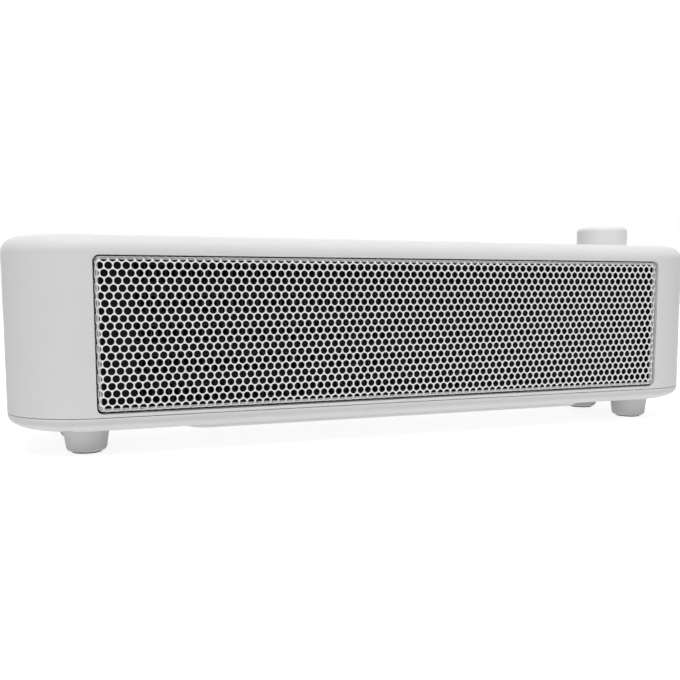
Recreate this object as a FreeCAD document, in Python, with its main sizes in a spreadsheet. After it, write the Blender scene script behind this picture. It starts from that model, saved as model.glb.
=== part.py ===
import FreeCAD, Part
import Sketcher
import math
import os
import re

# A low, wide fan heater. Millimetres, +Z up, front towards -Y.
# The origin is on the floor, under the middle of the body.

Vector = FreeCAD.Vector
X_AXIS = Vector(1, 0, 0)
Y_AXIS = Vector(0, 1, 0)
Z_AXIS = Vector(0, 0, 1)
SHEET = "sizes"

SIZES = {
    # Body: an upper shell on a base tray
    "body_width": 397,
    "body_depth": 100,
    "corner_radius": 39.5,
    "ground_clearance": 12.2,
    "tray_height": 7,
    "tray_floor": 2.1,
    "tray_bevel_rise": 4,
    "tray_bevel_inset": 6.1,
    "tray_side_radius": 5,
    "tray_under_radius": 14,
    "seam_gap": 0.3,
    "shell_height": 84.2,
    "shell_wall": 2.5,
    "top_edge_radius": 7.8,
    "tongue_height": 1.2,
    "tongue_thickness": 2,
    "tongue_gap": 0.2,
    "sole_margin": 82.5,
    "sole_depth": 84,
    "sole_radius": 12,
    "sole_thickness": 1.4,
    "sole_root": 1,
    "sole_bevel": 1,
    # Screws that pull the tray and the shell together at the four corners
    "boss_angle": 66,
    "boss_radius": 4.5,
    "boss_inset": 0.5,
    "boss_merge": 1,
    "post_height": 4,
    "boss_height": 24,
    "screw_radius": 1.5,
    "screw_head_radius": 3.2,
    "screw_head_height": 2.2,
    "screw_clearance": 0.2,
    "thread_clearance": 0.05,
    "base_screw_length": 22,
    "base_screw_recess": 4,
    # Feet
    "foot_inset": 35.6,
    "foot_y": 23.6,
    "foot_top_radius": 11.4,
    "foot_bottom_radius": 9.8,
    "foot_edge_radius": 2.6,
    "foot_post_height": 6,
    "foot_screw_length": 12,
    "foot_screw_seat": 4,
    "pad_radius": 7,
    "pad_thickness": 1.4,
    "pad_exposed": 0.6,
    "pad_gap": 0.1,
    # Front opening and the perforated grille in it
    "opening_margin": 38.7,
    "opening_height": 73.3,
    "opening_radius": 3.2,
    "strip_height": 1.4,
    "grille_gap": 0.8,
    "grille_lift": 0.25,
    "sheet_thickness": 0.5,
    "bend_radius": 2.4,
    "flange_depth": 9,
    "hole_pitch": 4,
    "hole_radius": 1.7,
    "hole_shift_x": 1.16,
    "hole_shift_z": 0.4,
    "collar_gap": 0.2,
    "collar_thickness": 0.8,
    "collar_setback": 1.4,
    "collar_depth": 1.2,
    "collar_bevel": 0.5,
    # Black frame behind the grille
    "frame_front_gap": 1.7,
    "frame_border": 6,
    "frame_clearance": 0.3,
    "frame_step": 2,
    "frame_top_gap": 2.2,
    "frame_fit": 0.1,
    # Heater: flat tubes with corrugated fin strips between them
    "heater_margin": 19.8,
    "heater_depth": 16,
    "tube_count": 4,
    "tube_height": 6.5,
    "tube_reach": 6,
    "fin_height": 8,
    "fin_pitch": 5,
    "fin_thickness": 0.4,
    "cap_width": 12,
    "cap_margin": 3,
    "cap_fit": 0.1,
    "tab_length": 10,
    "tab_height": 4.8,
    "tab_thickness": 0.8,
    # Cross-flow blower
    "plate_thickness": 2,
    "plate_heater_gap": 0.5,
    "plate_back_gap": 2.5,
    "plate_top_gap": 3,
    "plate_foot_width": 10,
    "plate_foot_height": 2,
    "plate_foot_pitch": 30,
    "blower_post_radius": 4,
    "blower_post_height": 4,
    "blower_screw_length": 6,
    "fan_setback": 10,
    "rotor_radius": 24,
    "rotor_inner_radius": 18,
    "rotor_end_gap": 3,
    "disc_count": 5,
    "disc_thickness": 2,
    "blade_count": 24,
    "blade_thickness": 0.8,
    "blade_lean": 22,
    "blade_middle_lean": 8,
    "hub_radius": 7,
    "hub_length": 14,
    "hub_screw_gap": 2,
    "shaft_radius": 2.5,
    "shaft_fit": 0.05,
    "bearing_radius": 6,
    "bearing_length": 6,
    "stub_overhang": 4,
    "scroll_radius": 31,
    "scroll_thickness": 1.2,
    "scroll_start_angle": -15,
    "scroll_end_angle": -86,
    "vortex_angle": 120,
    "vortex_gap": 3,
    "vortex_lip": 12,
    "vortex_lip_angle": 65,
    # Shaded-pole motor at the left end
    "spacer_length": 4,
    "spacer_radius": 4,
    "bracket_thickness": 1.5,
    "bracket_height": 14,
    "bracket_gap": 2.5,
    "stator_thickness": 18,
    "stator_width": 48,
    "stator_below": 22,
    "stator_above": 35,
    "stator_bore_radius": 14,
    "air_gap": 0.4,
    "window_width": 26,
    "window_level": 18,
    "window_height": 9,
    "coil_build": 5,
    "coil_fit": 0.2,
    "motor_screw_pitch": 38,
    "motor_shaft_overhang": 5,
    # Rotary switch and knob at the right end
    "knob_inset": 40.8,
    "knob_y": 0,
    "knob_radius": 15.3,
    "knob_height": 12.9,
    "knob_gap": 0.4,
    "knob_edge_radius": 2.8,
    "knob_mark_width": 1.8,
    "knob_mark_length": 8,
    "knob_mark_depth": 0.6,
    "knob_wall": 2.4,
    "knob_hub_radius": 5.5,
    "knob_bore_roof": 1,
    "switch_width": 26,
    "switch_height": 22,
    "bush_radius": 4.5,
    "bush_height": 4,
    "bush_gap": 0.4,
    "nut_radius": 8,
    "nut_height": 2,
    "selector_radius": 3,
    "selector_depth": 14,
    # Safety parts and wiring points at the right end
    "terminal_inset": 26.5,
    "terminal_length": 24,
    "terminal_width": 14,
    "terminal_height": 14,
    "terminal_pitch": 7,
    "terminal_screw_radius": 2,
    "terminal_screw_depth": 6,
    "cutout_radius": 8,
    "cutout_length": 9,
    "cutout_drop": 17,
    "cutout_setback": 5,
    "fuse_radius": 2,
    "fuse_length": 14,
    "tilt_length": 16,
    "tilt_width": 20,
    "tilt_height": 26,
    "tilt_wall": 2,
    "tilt_setback": 18,
    "tilt_pin_radius": 1,
    "tilt_pin_drop": 5,
    "tilt_eye_radius": 2.4,
    "tilt_swing_radius": 13,
    "tilt_bob_radius": 3,
    "tilt_arm_radius": 0.9,
    # Rear intake panel and cord gland
    "intake_margin": 6,
    "intake_height": 60,
    "intake_radius": 5,
    "intake_fit": 0.2,
    "intake_flange": 2,
    "intake_overlap": 2,
    "slot_width": 3,
    "slot_length": 50,
    "slot_pitch": 6,
    "gland_level": 34,
    "gland_radius": 6,
    "gland_bore_radius": 3.6,
    "gland_length": 12,
    "gland_flange_radius": 7.4,
    "gland_flange": 3,
}

# Levels and places that follow from the sizes
PLACES = {
    "front": "-body_depth / 2",
    "back_inside": "body_depth / 2 - shell_wall",
    "tray_top": "ground_clearance + tray_height",
    "tray_wall": "shell_wall + tongue_gap + tongue_thickness",
    "floor_level": "ground_clearance + tray_floor",
    "rim_level": "tray_top + seam_gap",
    "body_top": "rim_level + shell_height",
    "ceiling": "body_top - shell_wall",
    "sole_width": "body_width - 2 * sole_margin",
    "post_level": "tray_top + post_height",
    "boss_reach": "corner_radius - shell_wall - tongue_gap - boss_inset - boss_radius",
    "boss_x": "body_width / 2 - corner_radius + boss_reach * cos(boss_angle)",
    "boss_y": "body_depth / 2 - corner_radius + boss_reach * sin(boss_angle)",
    "shell_boss_radius": "boss_radius + tongue_gap + boss_merge",
    "base_screw_level": "ground_clearance + base_screw_recess",
    "base_screw_tip": "base_screw_level + base_screw_length",
    "foot_x": "body_width / 2 - foot_inset",
    "foot_screw_level": "pad_thickness + foot_screw_seat",
    "foot_screw_tip": "foot_screw_level + foot_screw_length",
    "opening_width": "body_width - 2 * opening_margin",
    "opening_level": "rim_level + strip_height",
    "opening_centre": "opening_level + opening_height / 2",
    "grille_middle": "opening_centre + grille_lift",
    "grille_width": "opening_width - 2 * grille_gap",
    "grille_height": "opening_height - 2 * grille_gap",
    "grille_back": "front + flange_depth",
    "lip_front": "front + collar_setback + collar_depth",
    "frame_front": "front + shell_wall + frame_front_gap",
    "frame_back": "grille_back + frame_step",
    "heater_length": "opening_width - 2 * heater_margin",
    "rows_height": "tube_count * tube_height + (tube_count + 1) * fin_height",
    "rows_level": "opening_centre - rows_height / 2",
    "heater_back": "frame_back + heater_depth",
    "heater_middle": "frame_back + heater_depth / 2",
    "cap_end": "heater_length / 2 + cap_width",
    "cap_screw_x": "heater_length / 2 + (cap_width + tube_reach) / 2",
    "cap_screw_offset": "rows_height / 2 - fin_height / 2",
    "blower_length": "heater_length",
    "plate_outside": "blower_length / 2 + plate_thickness",
    "plate_front": "heater_back + plate_heater_gap",
    "plate_depth": "back_inside - plate_back_gap - plate_front",
    "blower_post_level": "floor_level + blower_post_height",
    "plate_screw_x": "plate_outside + plate_foot_width / 2",
    "rotor_end": "blower_length / 2 - rotor_end_gap",
    "bracket_start": "plate_outside + spacer_length",
    "stator_start": "bracket_start + bracket_thickness + bracket_gap",
    "stator_end": "stator_start + stator_thickness",
    "outer_bracket_start": "stator_end + bracket_gap",
    "motor_end": "outer_bracket_start + bracket_thickness",
    "knob_x": "body_width / 2 - knob_inset",
    "knob_bottom": "body_top + knob_gap",
    "knob_roof": "knob_bottom + knob_height - knob_wall",
    "knob_hub_bottom": "body_top + bush_height + bush_gap",
    "selector_top": "knob_roof - knob_bore_roof",
    "terminal_x": "body_width / 2 - terminal_inset",
    "tilt_bottom": "opening_centre - tilt_height / 2",
    "tilt_pin_level": "tilt_bottom + tilt_height - tilt_wall - tilt_pin_drop",
    "tilt_middle": "plate_outside + tilt_length / 2",
    "tilt_y": "fan_setback + tilt_setback",
    "intake_width": "blower_length - 2 * intake_margin",
    "slot_field": "intake_width - (intake_height - slot_length) - slot_width",
    "slot_spaces": "floor(slot_field / slot_pitch)",
    "gland_x": "(plate_outside + body_width / 2 - corner_radius) / 2",
}

CORNERS = [(-1, -1), (1, -1), (1, 1), (-1, 1)]
CORNER_NAMES = {(-1, -1): "front_left", (1, -1): "front_right", (1, 1): "rear_right", (-1, 1): "rear_left"}
SIDE_NAMES = {-1: "left", 1: "right"}

doc = FreeCAD.newDocument("fan_heater")
sub_parts = []


def make_sheet():
    """Put every driving size in the sheet, with its name as the alias."""
    sheet = doc.addObject("Spreadsheet::Sheet", SHEET)
    for row, (alias, size) in enumerate(SIZES.items(), 1):
        sheet.set(f"A{row}", alias)
        sheet.set(f"B{row}", str(size))
        sheet.setAlias(f"B{row}", alias)
    doc.recompute()
    return sheet


sheet = make_sheet()


def formula(text):
    """Spell a formula out for the document: places become formulas, sizes get the sheet's name."""
    def spell(match):
        word = match.group()
        if word in PLACES:
            return f"({formula(PLACES[word])})"
        return f"{SHEET}.{word}" if word in SIZES else word
    return re.sub(r"[a-z_][a-z0-9_]*", spell, text)


def number(text):
    """The present value of a formula."""
    return float(sheet.evalExpression(formula(text)))


def bind(thing, **formulas):
    """Tie properties of an object to formulas."""
    for name, text in formulas.items():
        thing.setExpression(name, formula(text))


def place(thing, x="0", y="0", z="0", along=Z_AXIS):
    """Put an object at a place, with its own Z axis turned to the given direction."""
    thing.Placement = FreeCAD.Placement(Vector(), FreeCAD.Rotation(Z_AXIS, along))
    for axis, text in zip("xyz", (x, y, z)):
        thing.setExpression(f"Placement.Base.{axis}", formula(text))


def keep(thing, label):
    """Make an object a sub-part: its label names its file."""
    thing.Label = label
    sub_parts.append(thing)
    return thing


# Simple solids

def block(name, width, depth, height, x="0", y="0", z="0"):
    """A box with its middle at x and y and its bottom at z."""
    solid = doc.addObject("Part::Box", name)
    bind(solid, Length=width, Width=depth, Height=height)
    place(solid, f"{x} - ({width}) / 2", f"{y} - ({depth}) / 2", z)
    return solid


def cylinder(name, radius, length, x="0", y="0", z="0", along=Z_AXIS):
    solid = doc.addObject("Part::Cylinder", name)
    bind(solid, Radius=radius, Height=length)
    place(solid, x, y, z, along)
    return solid


def fuse(name, *solids):
    union = doc.addObject("Part::MultiFuse", name)
    union.Shapes = list(solids)
    return union


def cut(name, base, *tools):
    result = doc.addObject("Part::Cut", name)
    result.Base = base
    result.Tool = tools[0] if len(tools) == 1 else fuse(f"{name}_tools", *tools)
    return result


def group(name, solids):
    """Identical solids that share one sub-part."""
    together = doc.addObject("Part::Compound", name)
    together.Links = solids
    return together


def screw(name, length, x, y, z, along, head_radius="screw_head_radius"):
    """A pan-head screw: its head stands on the point x, y, z and its shank runs the given way."""
    shank = cylinder(f"{name}_shank", "screw_radius", length, x, y, z, along)
    head = cylinder(f"{name}_head", head_radius, "screw_head_height", x, y, z, along * -1)
    return fuse(name, shank, head)


def shaped(label, shape, at=Vector()):
    """A sub-part whose shape is worked out below from the sheet's sizes."""
    feature = doc.addObject("Part::Feature", label)
    feature.Shape = shape
    feature.Placement = FreeCAD.Placement(at, FreeCAD.Rotation())
    return keep(feature, label)


# Sketch-based bodies

def new_body(name):
    return doc.addObject("PartDesign::Body", name)


def new_sketch(body, name, level="0", role="XY_Plane"):
    """A sketch on the body's own plane, moved to a level: z on the XY plane, y on the XZ plane."""
    sketch = body.newObject("Sketcher::SketchObject", f"{body.Name}_{name}_sketch")
    plane = next(f for f in body.Origin.OriginFeatures if f.Role == role)
    sketch.AttachmentSupport = [(plane, "")]
    sketch.MapMode = "FlatFace"
    offset = level if role == "XY_Plane" else f"-({level})"
    sketch.setExpression("AttachmentOffset.Base.z", formula(offset))
    return sketch


def limit(sketch, kind, *where, size):
    """A dimension of the sketch, tied to a formula."""
    index = sketch.addConstraint(Sketcher.Constraint(kind, *where, number(size)))
    sketch.setExpression(f"Constraints[{index}]", formula(size))


def draw_circle(sketch, radius, x="0", y="0"):
    circle = Part.Circle(Vector(number(x), number(y), 0), Z_AXIS, number(radius))
    index = sketch.addGeometry(circle)
    limit(sketch, "DistanceX", -1, 1, index, 3, size=x)
    limit(sketch, "DistanceY", -1, 1, index, 3, size=y)
    limit(sketch, "Radius", index, size=radius)


def draw_rounded_rectangle(sketch, width, height, radius, x="0", y="0"):
    """A rectangle with round corners, its middle at x and y."""
    centre = Vector(number(x), number(y), 0)
    reach = Vector(number(width) / 2, number(height) / 2, 0)
    round_size = number(radius)
    first = sketch.GeometryCount
    for index, (side_x, side_y) in enumerate([(1, -1), (1, 1), (-1, 1), (-1, -1)]):
        middle = centre + Vector(side_x * (reach.x - round_size), side_y * (reach.y - round_size), 0)
        start = math.radians(90 * (index - 1))
        arc = Part.ArcOfCircle(Part.Circle(middle, Z_AXIS, round_size), start, start + math.pi / 2)
        sketch.addGeometry(arc)
    arcs = [first + i for i in range(4)]
    lines = []
    for index, arc in enumerate(arcs):
        begin = sketch.getPoint(arc, 2)
        end = sketch.getPoint(arcs[(index + 1) % 4], 1)
        lines.append(sketch.addGeometry(Part.LineSegment(begin, end)))
    right, top, left, bottom = lines
    for index, line in enumerate(lines):
        sketch.addConstraint(Sketcher.Constraint("Tangent", arcs[index], 2, line, 1))
        sketch.addConstraint(Sketcher.Constraint("Tangent", line, 2, arcs[(index + 1) % 4], 1))
        sketch.addConstraint(Sketcher.Constraint("Vertical" if line in (right, left) else "Horizontal", line))
    for arc in arcs[1:]:
        sketch.addConstraint(Sketcher.Constraint("Equal", arcs[0], arc))
    limit(sketch, "Radius", arcs[0], size=radius)
    limit(sketch, "DistanceX", left, 1, right, 1, size=width)
    limit(sketch, "DistanceY", bottom, 1, top, 1, size=height)
    limit(sketch, "DistanceX", -1, 1, right, 1, size=f"{x} + ({width}) / 2")
    limit(sketch, "DistanceY", -1, 1, top, 1, size=f"{y} + ({height}) / 2")


def extrude(kind, body, sketch, length, flip):
    feature = body.newObject(f"PartDesign::{kind}", sketch.Name.replace("_sketch", ""))
    feature.Profile = sketch
    feature.Reversed = flip
    bind(feature, Length=length)
    doc.recompute()
    return feature


def pad(body, sketch, length, flip=False):
    return extrude("Pad", body, sketch, length, flip)


def pocket(body, sketch, length, flip=False):
    """Cut a sketch into the body, and make sure that it took something away."""
    before = body.Shape.Volume
    feature = extrude("Pocket", body, sketch, length, flip)
    if feature.Shape.Volume > before - 1e-3:
        raise RuntimeError(f"{feature.Name} cuts nothing")
    return feature


def dress(kind, body, base, name, edges, **sizes):
    """Round or bevel the edges of a feature that a test picks out."""
    picked = [f"Edge{i}" for i, edge in enumerate(base.Shape.Edges, 1) if edges(edge.BoundBox)]
    feature = body.newObject(f"PartDesign::{kind}", f"{body.Name}_{name}")
    feature.Base = (base, picked)
    bind(feature, **sizes)
    doc.recompute()
    return feature


def at_level(level):
    """A test for edges that lie flat at one height."""
    height = number(level)
    return lambda box: max(abs(box.ZMin - height), abs(box.ZMax - height)) < 1e-3


def draw_at_corners(sketch, radius, x, y):
    """The same circle at four places, mirrored left to right and front to back."""
    for side_x, side_y in CORNERS:
        draw_circle(sketch, radius, f"{side_x} * {x}", f"{side_y} * {y}")


def draw_outline(sketch, inset="0"):
    """The body's plan: a long rectangle with large round corners, drawn in by an inset."""
    draw_rounded_rectangle(
        sketch, f"body_width - 2 * ({inset})", f"body_depth - 2 * ({inset})", f"corner_radius - ({inset})")


# Housing

def upper_shell():
    body = keep(new_body("upper_shell"), "upper_shell")
    outline = new_sketch(body, "outline", "rim_level")
    draw_outline(outline)
    outside = pad(body, outline, "shell_height")
    dress("Fillet", body, outside, "top_edge", at_level("body_top"), Radius="top_edge_radius")
    hollow = new_sketch(body, "hollow", "rim_level")
    draw_outline(hollow, "shell_wall")
    inside = pocket(body, hollow, "shell_height - shell_wall", flip=True)
    dress("Fillet", body, inside, "inner_edge", at_level("ceiling"), Radius="top_edge_radius - shell_wall")

    window = new_sketch(body, "window", role="XZ_Plane")
    draw_rounded_rectangle(window, "opening_width", "opening_height", "opening_radius", y="opening_centre")
    pocket(body, window, "body_depth", flip=True)
    intake = new_sketch(body, "intake", role="XZ_Plane")
    draw_rounded_rectangle(intake, "intake_width", "intake_height", "intake_radius", y="opening_centre")
    pocket(body, intake, "body_depth")
    gland = new_sketch(body, "gland_hole", role="XZ_Plane")
    draw_circle(gland, "gland_radius", "gland_x", "gland_level")
    pocket(body, gland, "body_depth")
    bush = new_sketch(body, "bush_hole", "ceiling")
    draw_circle(bush, "bush_radius + thread_clearance", "knob_x", "knob_y")
    pocket(body, bush, "2 * shell_wall", flip=True)

    bosses = new_sketch(body, "bosses", "post_level")
    draw_at_corners(bosses, "shell_boss_radius", "boss_x", "boss_y")
    pad(body, bosses, "boss_height")
    pilots = new_sketch(body, "pilots", "post_level")
    draw_at_corners(pilots, "screw_radius + thread_clearance", "boss_x", "boss_y")
    pocket(body, pilots, "base_screw_tip - post_level + screw_clearance", flip=True)


def base_tray():
    body = keep(new_body("base_tray"), "base_tray")
    outline = new_sketch(body, "outline", "ground_clearance")
    draw_outline(outline)
    outside = pad(body, outline, "tray_height")
    bottom_edge = at_level("ground_clearance")
    bevel = dress(
        "Chamfer", body, outside, "bevel", bottom_edge, Size="tray_bevel_rise", Size2="tray_bevel_inset")
    bevel.ChamferType = "Two distances"
    doc.recompute()
    side_edge = at_level("ground_clearance + tray_bevel_rise")
    side = dress("Fillet", body, bevel, "side_edge", side_edge, Radius="tray_side_radius")
    dress("Fillet", body, side, "bottom_edge", bottom_edge, Radius="tray_under_radius")
    sole = new_sketch(body, "sole", "ground_clearance + sole_root")
    draw_rounded_rectangle(sole, "sole_width", "sole_depth", "sole_radius")
    lower = pad(body, sole, "sole_root + sole_thickness", flip=True)
    sole_edge = at_level("ground_clearance - sole_thickness")
    dress("Chamfer", body, lower, "sole_edge", sole_edge, Size="sole_bevel")
    hollow = new_sketch(body, "hollow", "tray_top")
    draw_outline(hollow, "tray_wall")
    pocket(body, hollow, "tray_height - tray_floor")
    tongue = new_sketch(body, "tongue", "tray_top")
    draw_outline(tongue, "shell_wall + tongue_gap")
    draw_outline(tongue, "tray_wall")
    pad(body, tongue, "tongue_height")

    posts = new_sketch(body, "posts", "floor_level")
    draw_at_corners(posts, "boss_radius", "boss_x", "boss_y")
    pad(body, posts, "post_level - floor_level")
    foot_posts = new_sketch(body, "foot_posts", "floor_level")
    draw_at_corners(foot_posts, "boss_radius", "foot_x", "foot_y")
    pad(body, foot_posts, "foot_post_height")
    blower_posts = new_sketch(body, "blower_posts", "floor_level")
    for side_x in SIDE_NAMES:
        for side_y in SIDE_NAMES:
            x = f"{side_x} * plate_screw_x"
            y = f"fan_setback + {side_y} * plate_foot_pitch / 2"
            draw_circle(blower_posts, "blower_post_radius", x, y)
    pad(body, blower_posts, "blower_post_height")

    recess = new_sketch(body, "screw_recess", "ground_clearance")
    draw_at_corners(recess, "screw_head_radius + screw_clearance", "boss_x", "boss_y")
    pocket(body, recess, "base_screw_recess", flip=True)
    through = new_sketch(body, "screw_holes", "ground_clearance")
    draw_at_corners(through, "screw_radius + screw_clearance", "boss_x", "boss_y")
    pocket(body, through, "post_level - ground_clearance", flip=True)
    foot_holes = new_sketch(body, "foot_holes", "ground_clearance")
    draw_at_corners(foot_holes, "screw_radius + thread_clearance", "foot_x", "foot_y")
    pocket(body, foot_holes, "foot_screw_tip - ground_clearance + screw_clearance", flip=True)
    blower_holes = new_sketch(body, "blower_holes", "blower_post_level")
    for side_x in SIDE_NAMES:
        for side_y in SIDE_NAMES:
            x = f"{side_x} * plate_screw_x"
            y = f"fan_setback + {side_y} * plate_foot_pitch / 2"
            draw_circle(blower_holes, "screw_radius + thread_clearance", x, y)
    pocket(body, blower_holes, "blower_screw_length - plate_foot_height + screw_clearance")


def feet():
    """Four tapered feet, each with a pad let into its underside and a screw behind the pad."""
    screws = []
    for side_x, side_y in CORNERS:
        name = CORNER_NAMES[side_x, side_y]
        x = f"{side_x} * foot_x"
        y = f"{side_y} * foot_y"
        cone = doc.addObject("Part::Cone", f"foot_cone_{name}")
        foot_height = "ground_clearance - pad_exposed"
        bind(cone, Radius1="foot_bottom_radius", Radius2="foot_top_radius", Height=foot_height)
        place(cone, x, y, "pad_exposed")
        doc.recompute()
        rounded = doc.addObject("Part::Fillet", f"foot_round_{name}")
        rounded.Base = cone
        edge = number("foot_edge_radius")
        lowest = min(range(len(cone.Shape.Edges)), key=lambda i: cone.Shape.Edges[i].BoundBox.ZMax)
        rounded.Edges = [(lowest + 1, edge, edge)]
        recess = cylinder(f"foot_recess_{name}", "pad_radius + pad_gap", "pad_thickness", x, y, "0")
        seat = cylinder(
            f"foot_seat_{name}", "screw_head_radius + screw_clearance", "foot_screw_level", x, y)
        hole = cylinder(f"foot_hole_{name}", "screw_radius + screw_clearance", "ground_clearance", x, y)
        keep(cut(f"foot_{name}", rounded, recess, seat, hole), f"foot_{name}")
        keep(cylinder(f"foot_pad_{name}", "pad_radius", "pad_thickness", x, y), f"foot_pad_{name}")
        screws.append(screw(f"foot_screw_{name}", "foot_screw_length", x, y, "foot_screw_level", Z_AXIS))
    keep(group("foot_screws", screws), "foot_screws")


def base_screws():
    screws = [
        screw(
            f"base_screw_{CORNER_NAMES[side]}", "base_screw_length",
            f"{side[0]} * boss_x", f"{side[1]} * boss_y", "base_screw_level", Z_AXIS)
        for side in CORNERS
    ]
    keep(group("base_screws", screws), "base_screws")


# Front grille and the frame behind it

def folded_tray(width, height, depth, radius):
    """A box with rounded front edges and corners, its front face on y = 0 and its middle at x = z = 0."""
    solid = Part.makeBox(width, depth, height, Vector(-width / 2, 0, -height / 2))
    soft = [edge for edge in solid.Edges if edge.BoundBox.YMin < depth / 2]
    return solid.makeFillet(radius, soft)


def hole_rows(half_width, half_height):
    """Staggered rows of holes that lie whole within a flat: each row's z, and the x of its holes."""
    pitch = number("hole_pitch")
    radius = number("hole_radius")
    row_step = pitch * math.sin(math.radians(60))
    rows = int(half_height / row_step) + 1
    columns = int(half_width / pitch) + 1
    for row in range(-rows, rows + 1):
        z = number("hole_shift_z") + row * row_step
        first = number("hole_shift_x") + (pitch / 2 if row % 2 else 0)
        places = [first + column * pitch for column in range(-columns, columns + 1)]
        if abs(z) + radius < half_height:
            yield z, [x for x in places if abs(x) + radius < half_width]


def perforated_plate(half_width, half_height, thickness):
    """The holed flat of the grille, as one band for each row of holes."""
    rows = list(hole_rows(half_width, half_height))
    levels = [z for z, places in rows]
    edges = [-half_height] + [(low + high) / 2 for low, high in zip(levels, levels[1:])] + [half_height]
    bands = []
    for (level, places), bottom, top in zip(rows, edges, edges[1:]):
        corners = [Vector(x * half_width, 0, z) for x, z in ((-1, bottom), (1, bottom), (1, top), (-1, top))]
        wires = [Part.makePolygon(corners + corners[:1])]
        for x in places:
            wires.append(Part.Wire(Part.makeCircle(number("hole_radius"), Vector(x, 0, level), Y_AXIS)))
        bands.append(Part.Face(wires).extrude(Y_AXIS * thickness))
    return bands


def front_grille():
    """A perforated sheet with its edges folded back."""
    width = number("grille_width")
    height = number("grille_height")
    depth = number("flange_depth")
    thickness = number("sheet_thickness")
    bend = number("bend_radius")
    outer = folded_tray(width, height, depth, bend)
    inner = folded_tray(width - 2 * thickness, height - 2 * thickness, depth, bend - thickness)
    inner.translate(Y_AXIS * thickness)
    half_width = width / 2 - bend
    half_height = height / 2 - bend
    flat = Part.makeBox(2 * half_width, thickness, 2 * half_height, Vector(-half_width, 0, -half_height))
    rim = outer.cut(inner).cut(flat)
    bands = perforated_plate(half_width, half_height, thickness)
    shaped("front_grille", rim.fuse(bands), Vector(0, number("front"), number("grille_middle")))


def fold_ring(name, start, depth, bevel=None):
    """A ring that nests in the grille's fold, running back from a plane, with a bevelled front if asked."""
    body = new_body(name)
    gap = "(sheet_thickness + collar_gap)"
    outline = new_sketch(body, "outline", start, "XZ_Plane")
    draw_rounded_rectangle(
        outline, f"grille_width - 2 * {gap}", f"grille_height - 2 * {gap}", f"bend_radius - {gap}",
        y="grille_middle")
    outside = pad(body, outline, depth, flip=True)
    if bevel:
        front = number(start)
        dress("Chamfer", body, outside, "fold_edge", lambda box: box.YMax < front + 1e-3, Size=bevel)
    hollow = new_sketch(body, "hollow", start, "XZ_Plane")
    inset = f"({gap} + collar_thickness)"
    draw_rounded_rectangle(
        hollow, f"grille_width - 2 * {inset}", f"grille_height - 2 * {inset}", f"bend_radius - {inset}",
        y="grille_middle")
    pocket(body, hollow, depth)
    return body


def grille_collar():
    """A white ring close behind the grille's edge, which stands on the black frame's lip."""
    ring = fold_ring("grille_collar", "front + collar_setback", "collar_depth", "collar_bevel")
    keep(ring, "grille_collar")


def outlet_frame():
    """Black frame: its lip fills the grille's fold and the heater is screwed to its back."""
    width = "opening_width + 2 * frame_border"
    height = "ceiling - frame_top_gap - floor_level"
    depth = "frame_back - frame_front"
    slab = block(
        "outlet_frame_block", width, depth, height, y=f"frame_front + ({depth}) / 2", z="floor_level")
    room = new_body("outlet_frame_room")
    plan = new_sketch(room, "plan", "floor_level")
    draw_outline(plan, "tray_wall + frame_clearance")
    pad(room, plan, height)
    outside = doc.addObject("Part::Common", "outlet_frame_outside")
    outside.Base = slab
    outside.Tool = room
    recess = block(
        "outlet_frame_recess", "grille_width + 2 * frame_fit", depth, "grille_height + 2 * frame_fit",
        y=f"grille_back - ({depth}) / 2", z="grille_middle - grille_height / 2 - frame_fit")
    passage = block(
        "outlet_frame_passage", "heater_length", "body_depth", "rows_height", y="frame_back", z="rows_level")
    holes = [
        cylinder(
            f"outlet_frame_hole_{side}_{level}", "screw_radius + thread_clearance", "2 * frame_step",
            f"{side} * cap_screw_x", "grille_back - frame_step / 2",
            f"opening_centre + {level} * cap_screw_offset", Y_AXIS)
        for side in SIDE_NAMES for level in SIDE_NAMES
    ]
    window = cut("outlet_frame_window", outside, recess, passage, *holes)
    lip = fold_ring("outlet_frame_lip", "lip_front", "grille_back + frame_step / 2 - lip_front")
    keep(fuse("outlet_frame", window, lip), "outlet_frame")


# Heater

def ribbon(points, thickness):
    """Outline of a thin strip to the left of a run of points in the YZ or XZ plane, as (u, v) pairs."""
    offset = []
    for index, (u, v) in enumerate(points):
        before = points[max(index - 1, 0)]
        after = points[min(index + 1, len(points) - 1)]
        normals = []
        for (u0, v0), (u1, v1) in ((before, (u, v)), ((u, v), after)):
            length = math.hypot(u1 - u0, v1 - v0)
            if length:
                normals.append(((v0 - v1) / length, (u1 - u0) / length))
        nu = sum(n[0] for n in normals) / len(normals)
        nv = sum(n[1] for n in normals) / len(normals)
        stretch = thickness / (nu * nu + nv * nv)
        offset.append((u + nu * stretch, v + nv * stretch))
    return points + offset[::-1]


def prism(points, travel):
    """A solid from a closed outline moved along a vector."""
    return Part.Face(Part.makePolygon(points + points[:1])).extrude(travel)


def fin_strips():
    """Corrugated strips that fill the spaces above, between and below the tubes."""
    length = number("heater_length")
    height = number("fin_height")
    thickness = number("fin_thickness")
    waves = int(length / number("fin_pitch"))
    step = length / (2 * waves)
    inside = height - thickness
    centre_line = []
    for half_wave in range(2 * waves):
        level = inside if half_wave % 2 else 0
        start = (thickness - length) / 2 + half_wave * step
        centre_line += [(start, level), (start + step - thickness, level)]
    for row in range(int(number("tube_count")) + 1):
        level = number("rows_level") + row * (height + number("tube_height"))
        outline = [
            Vector(u, number("frame_back"), level + v) for u, v in ribbon(centre_line, thickness)]
        shaped(f"fin_strip_{row + 1}", prism(outline, Y_AXIS * number("heater_depth")))


def heater_tubes():
    """Flat tubes that hold the heating stones, let into the end caps."""
    for row in range(int(number("tube_count"))):
        level = f"rows_level + fin_height + {row} * (tube_height + fin_height)"
        tube = block(
            f"heater_tube_{row + 1}", "heater_length + 2 * tube_reach", "heater_depth", "tube_height",
            y="heater_middle", z=level)
        keep(tube, f"heater_tube_{row + 1}")


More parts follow.
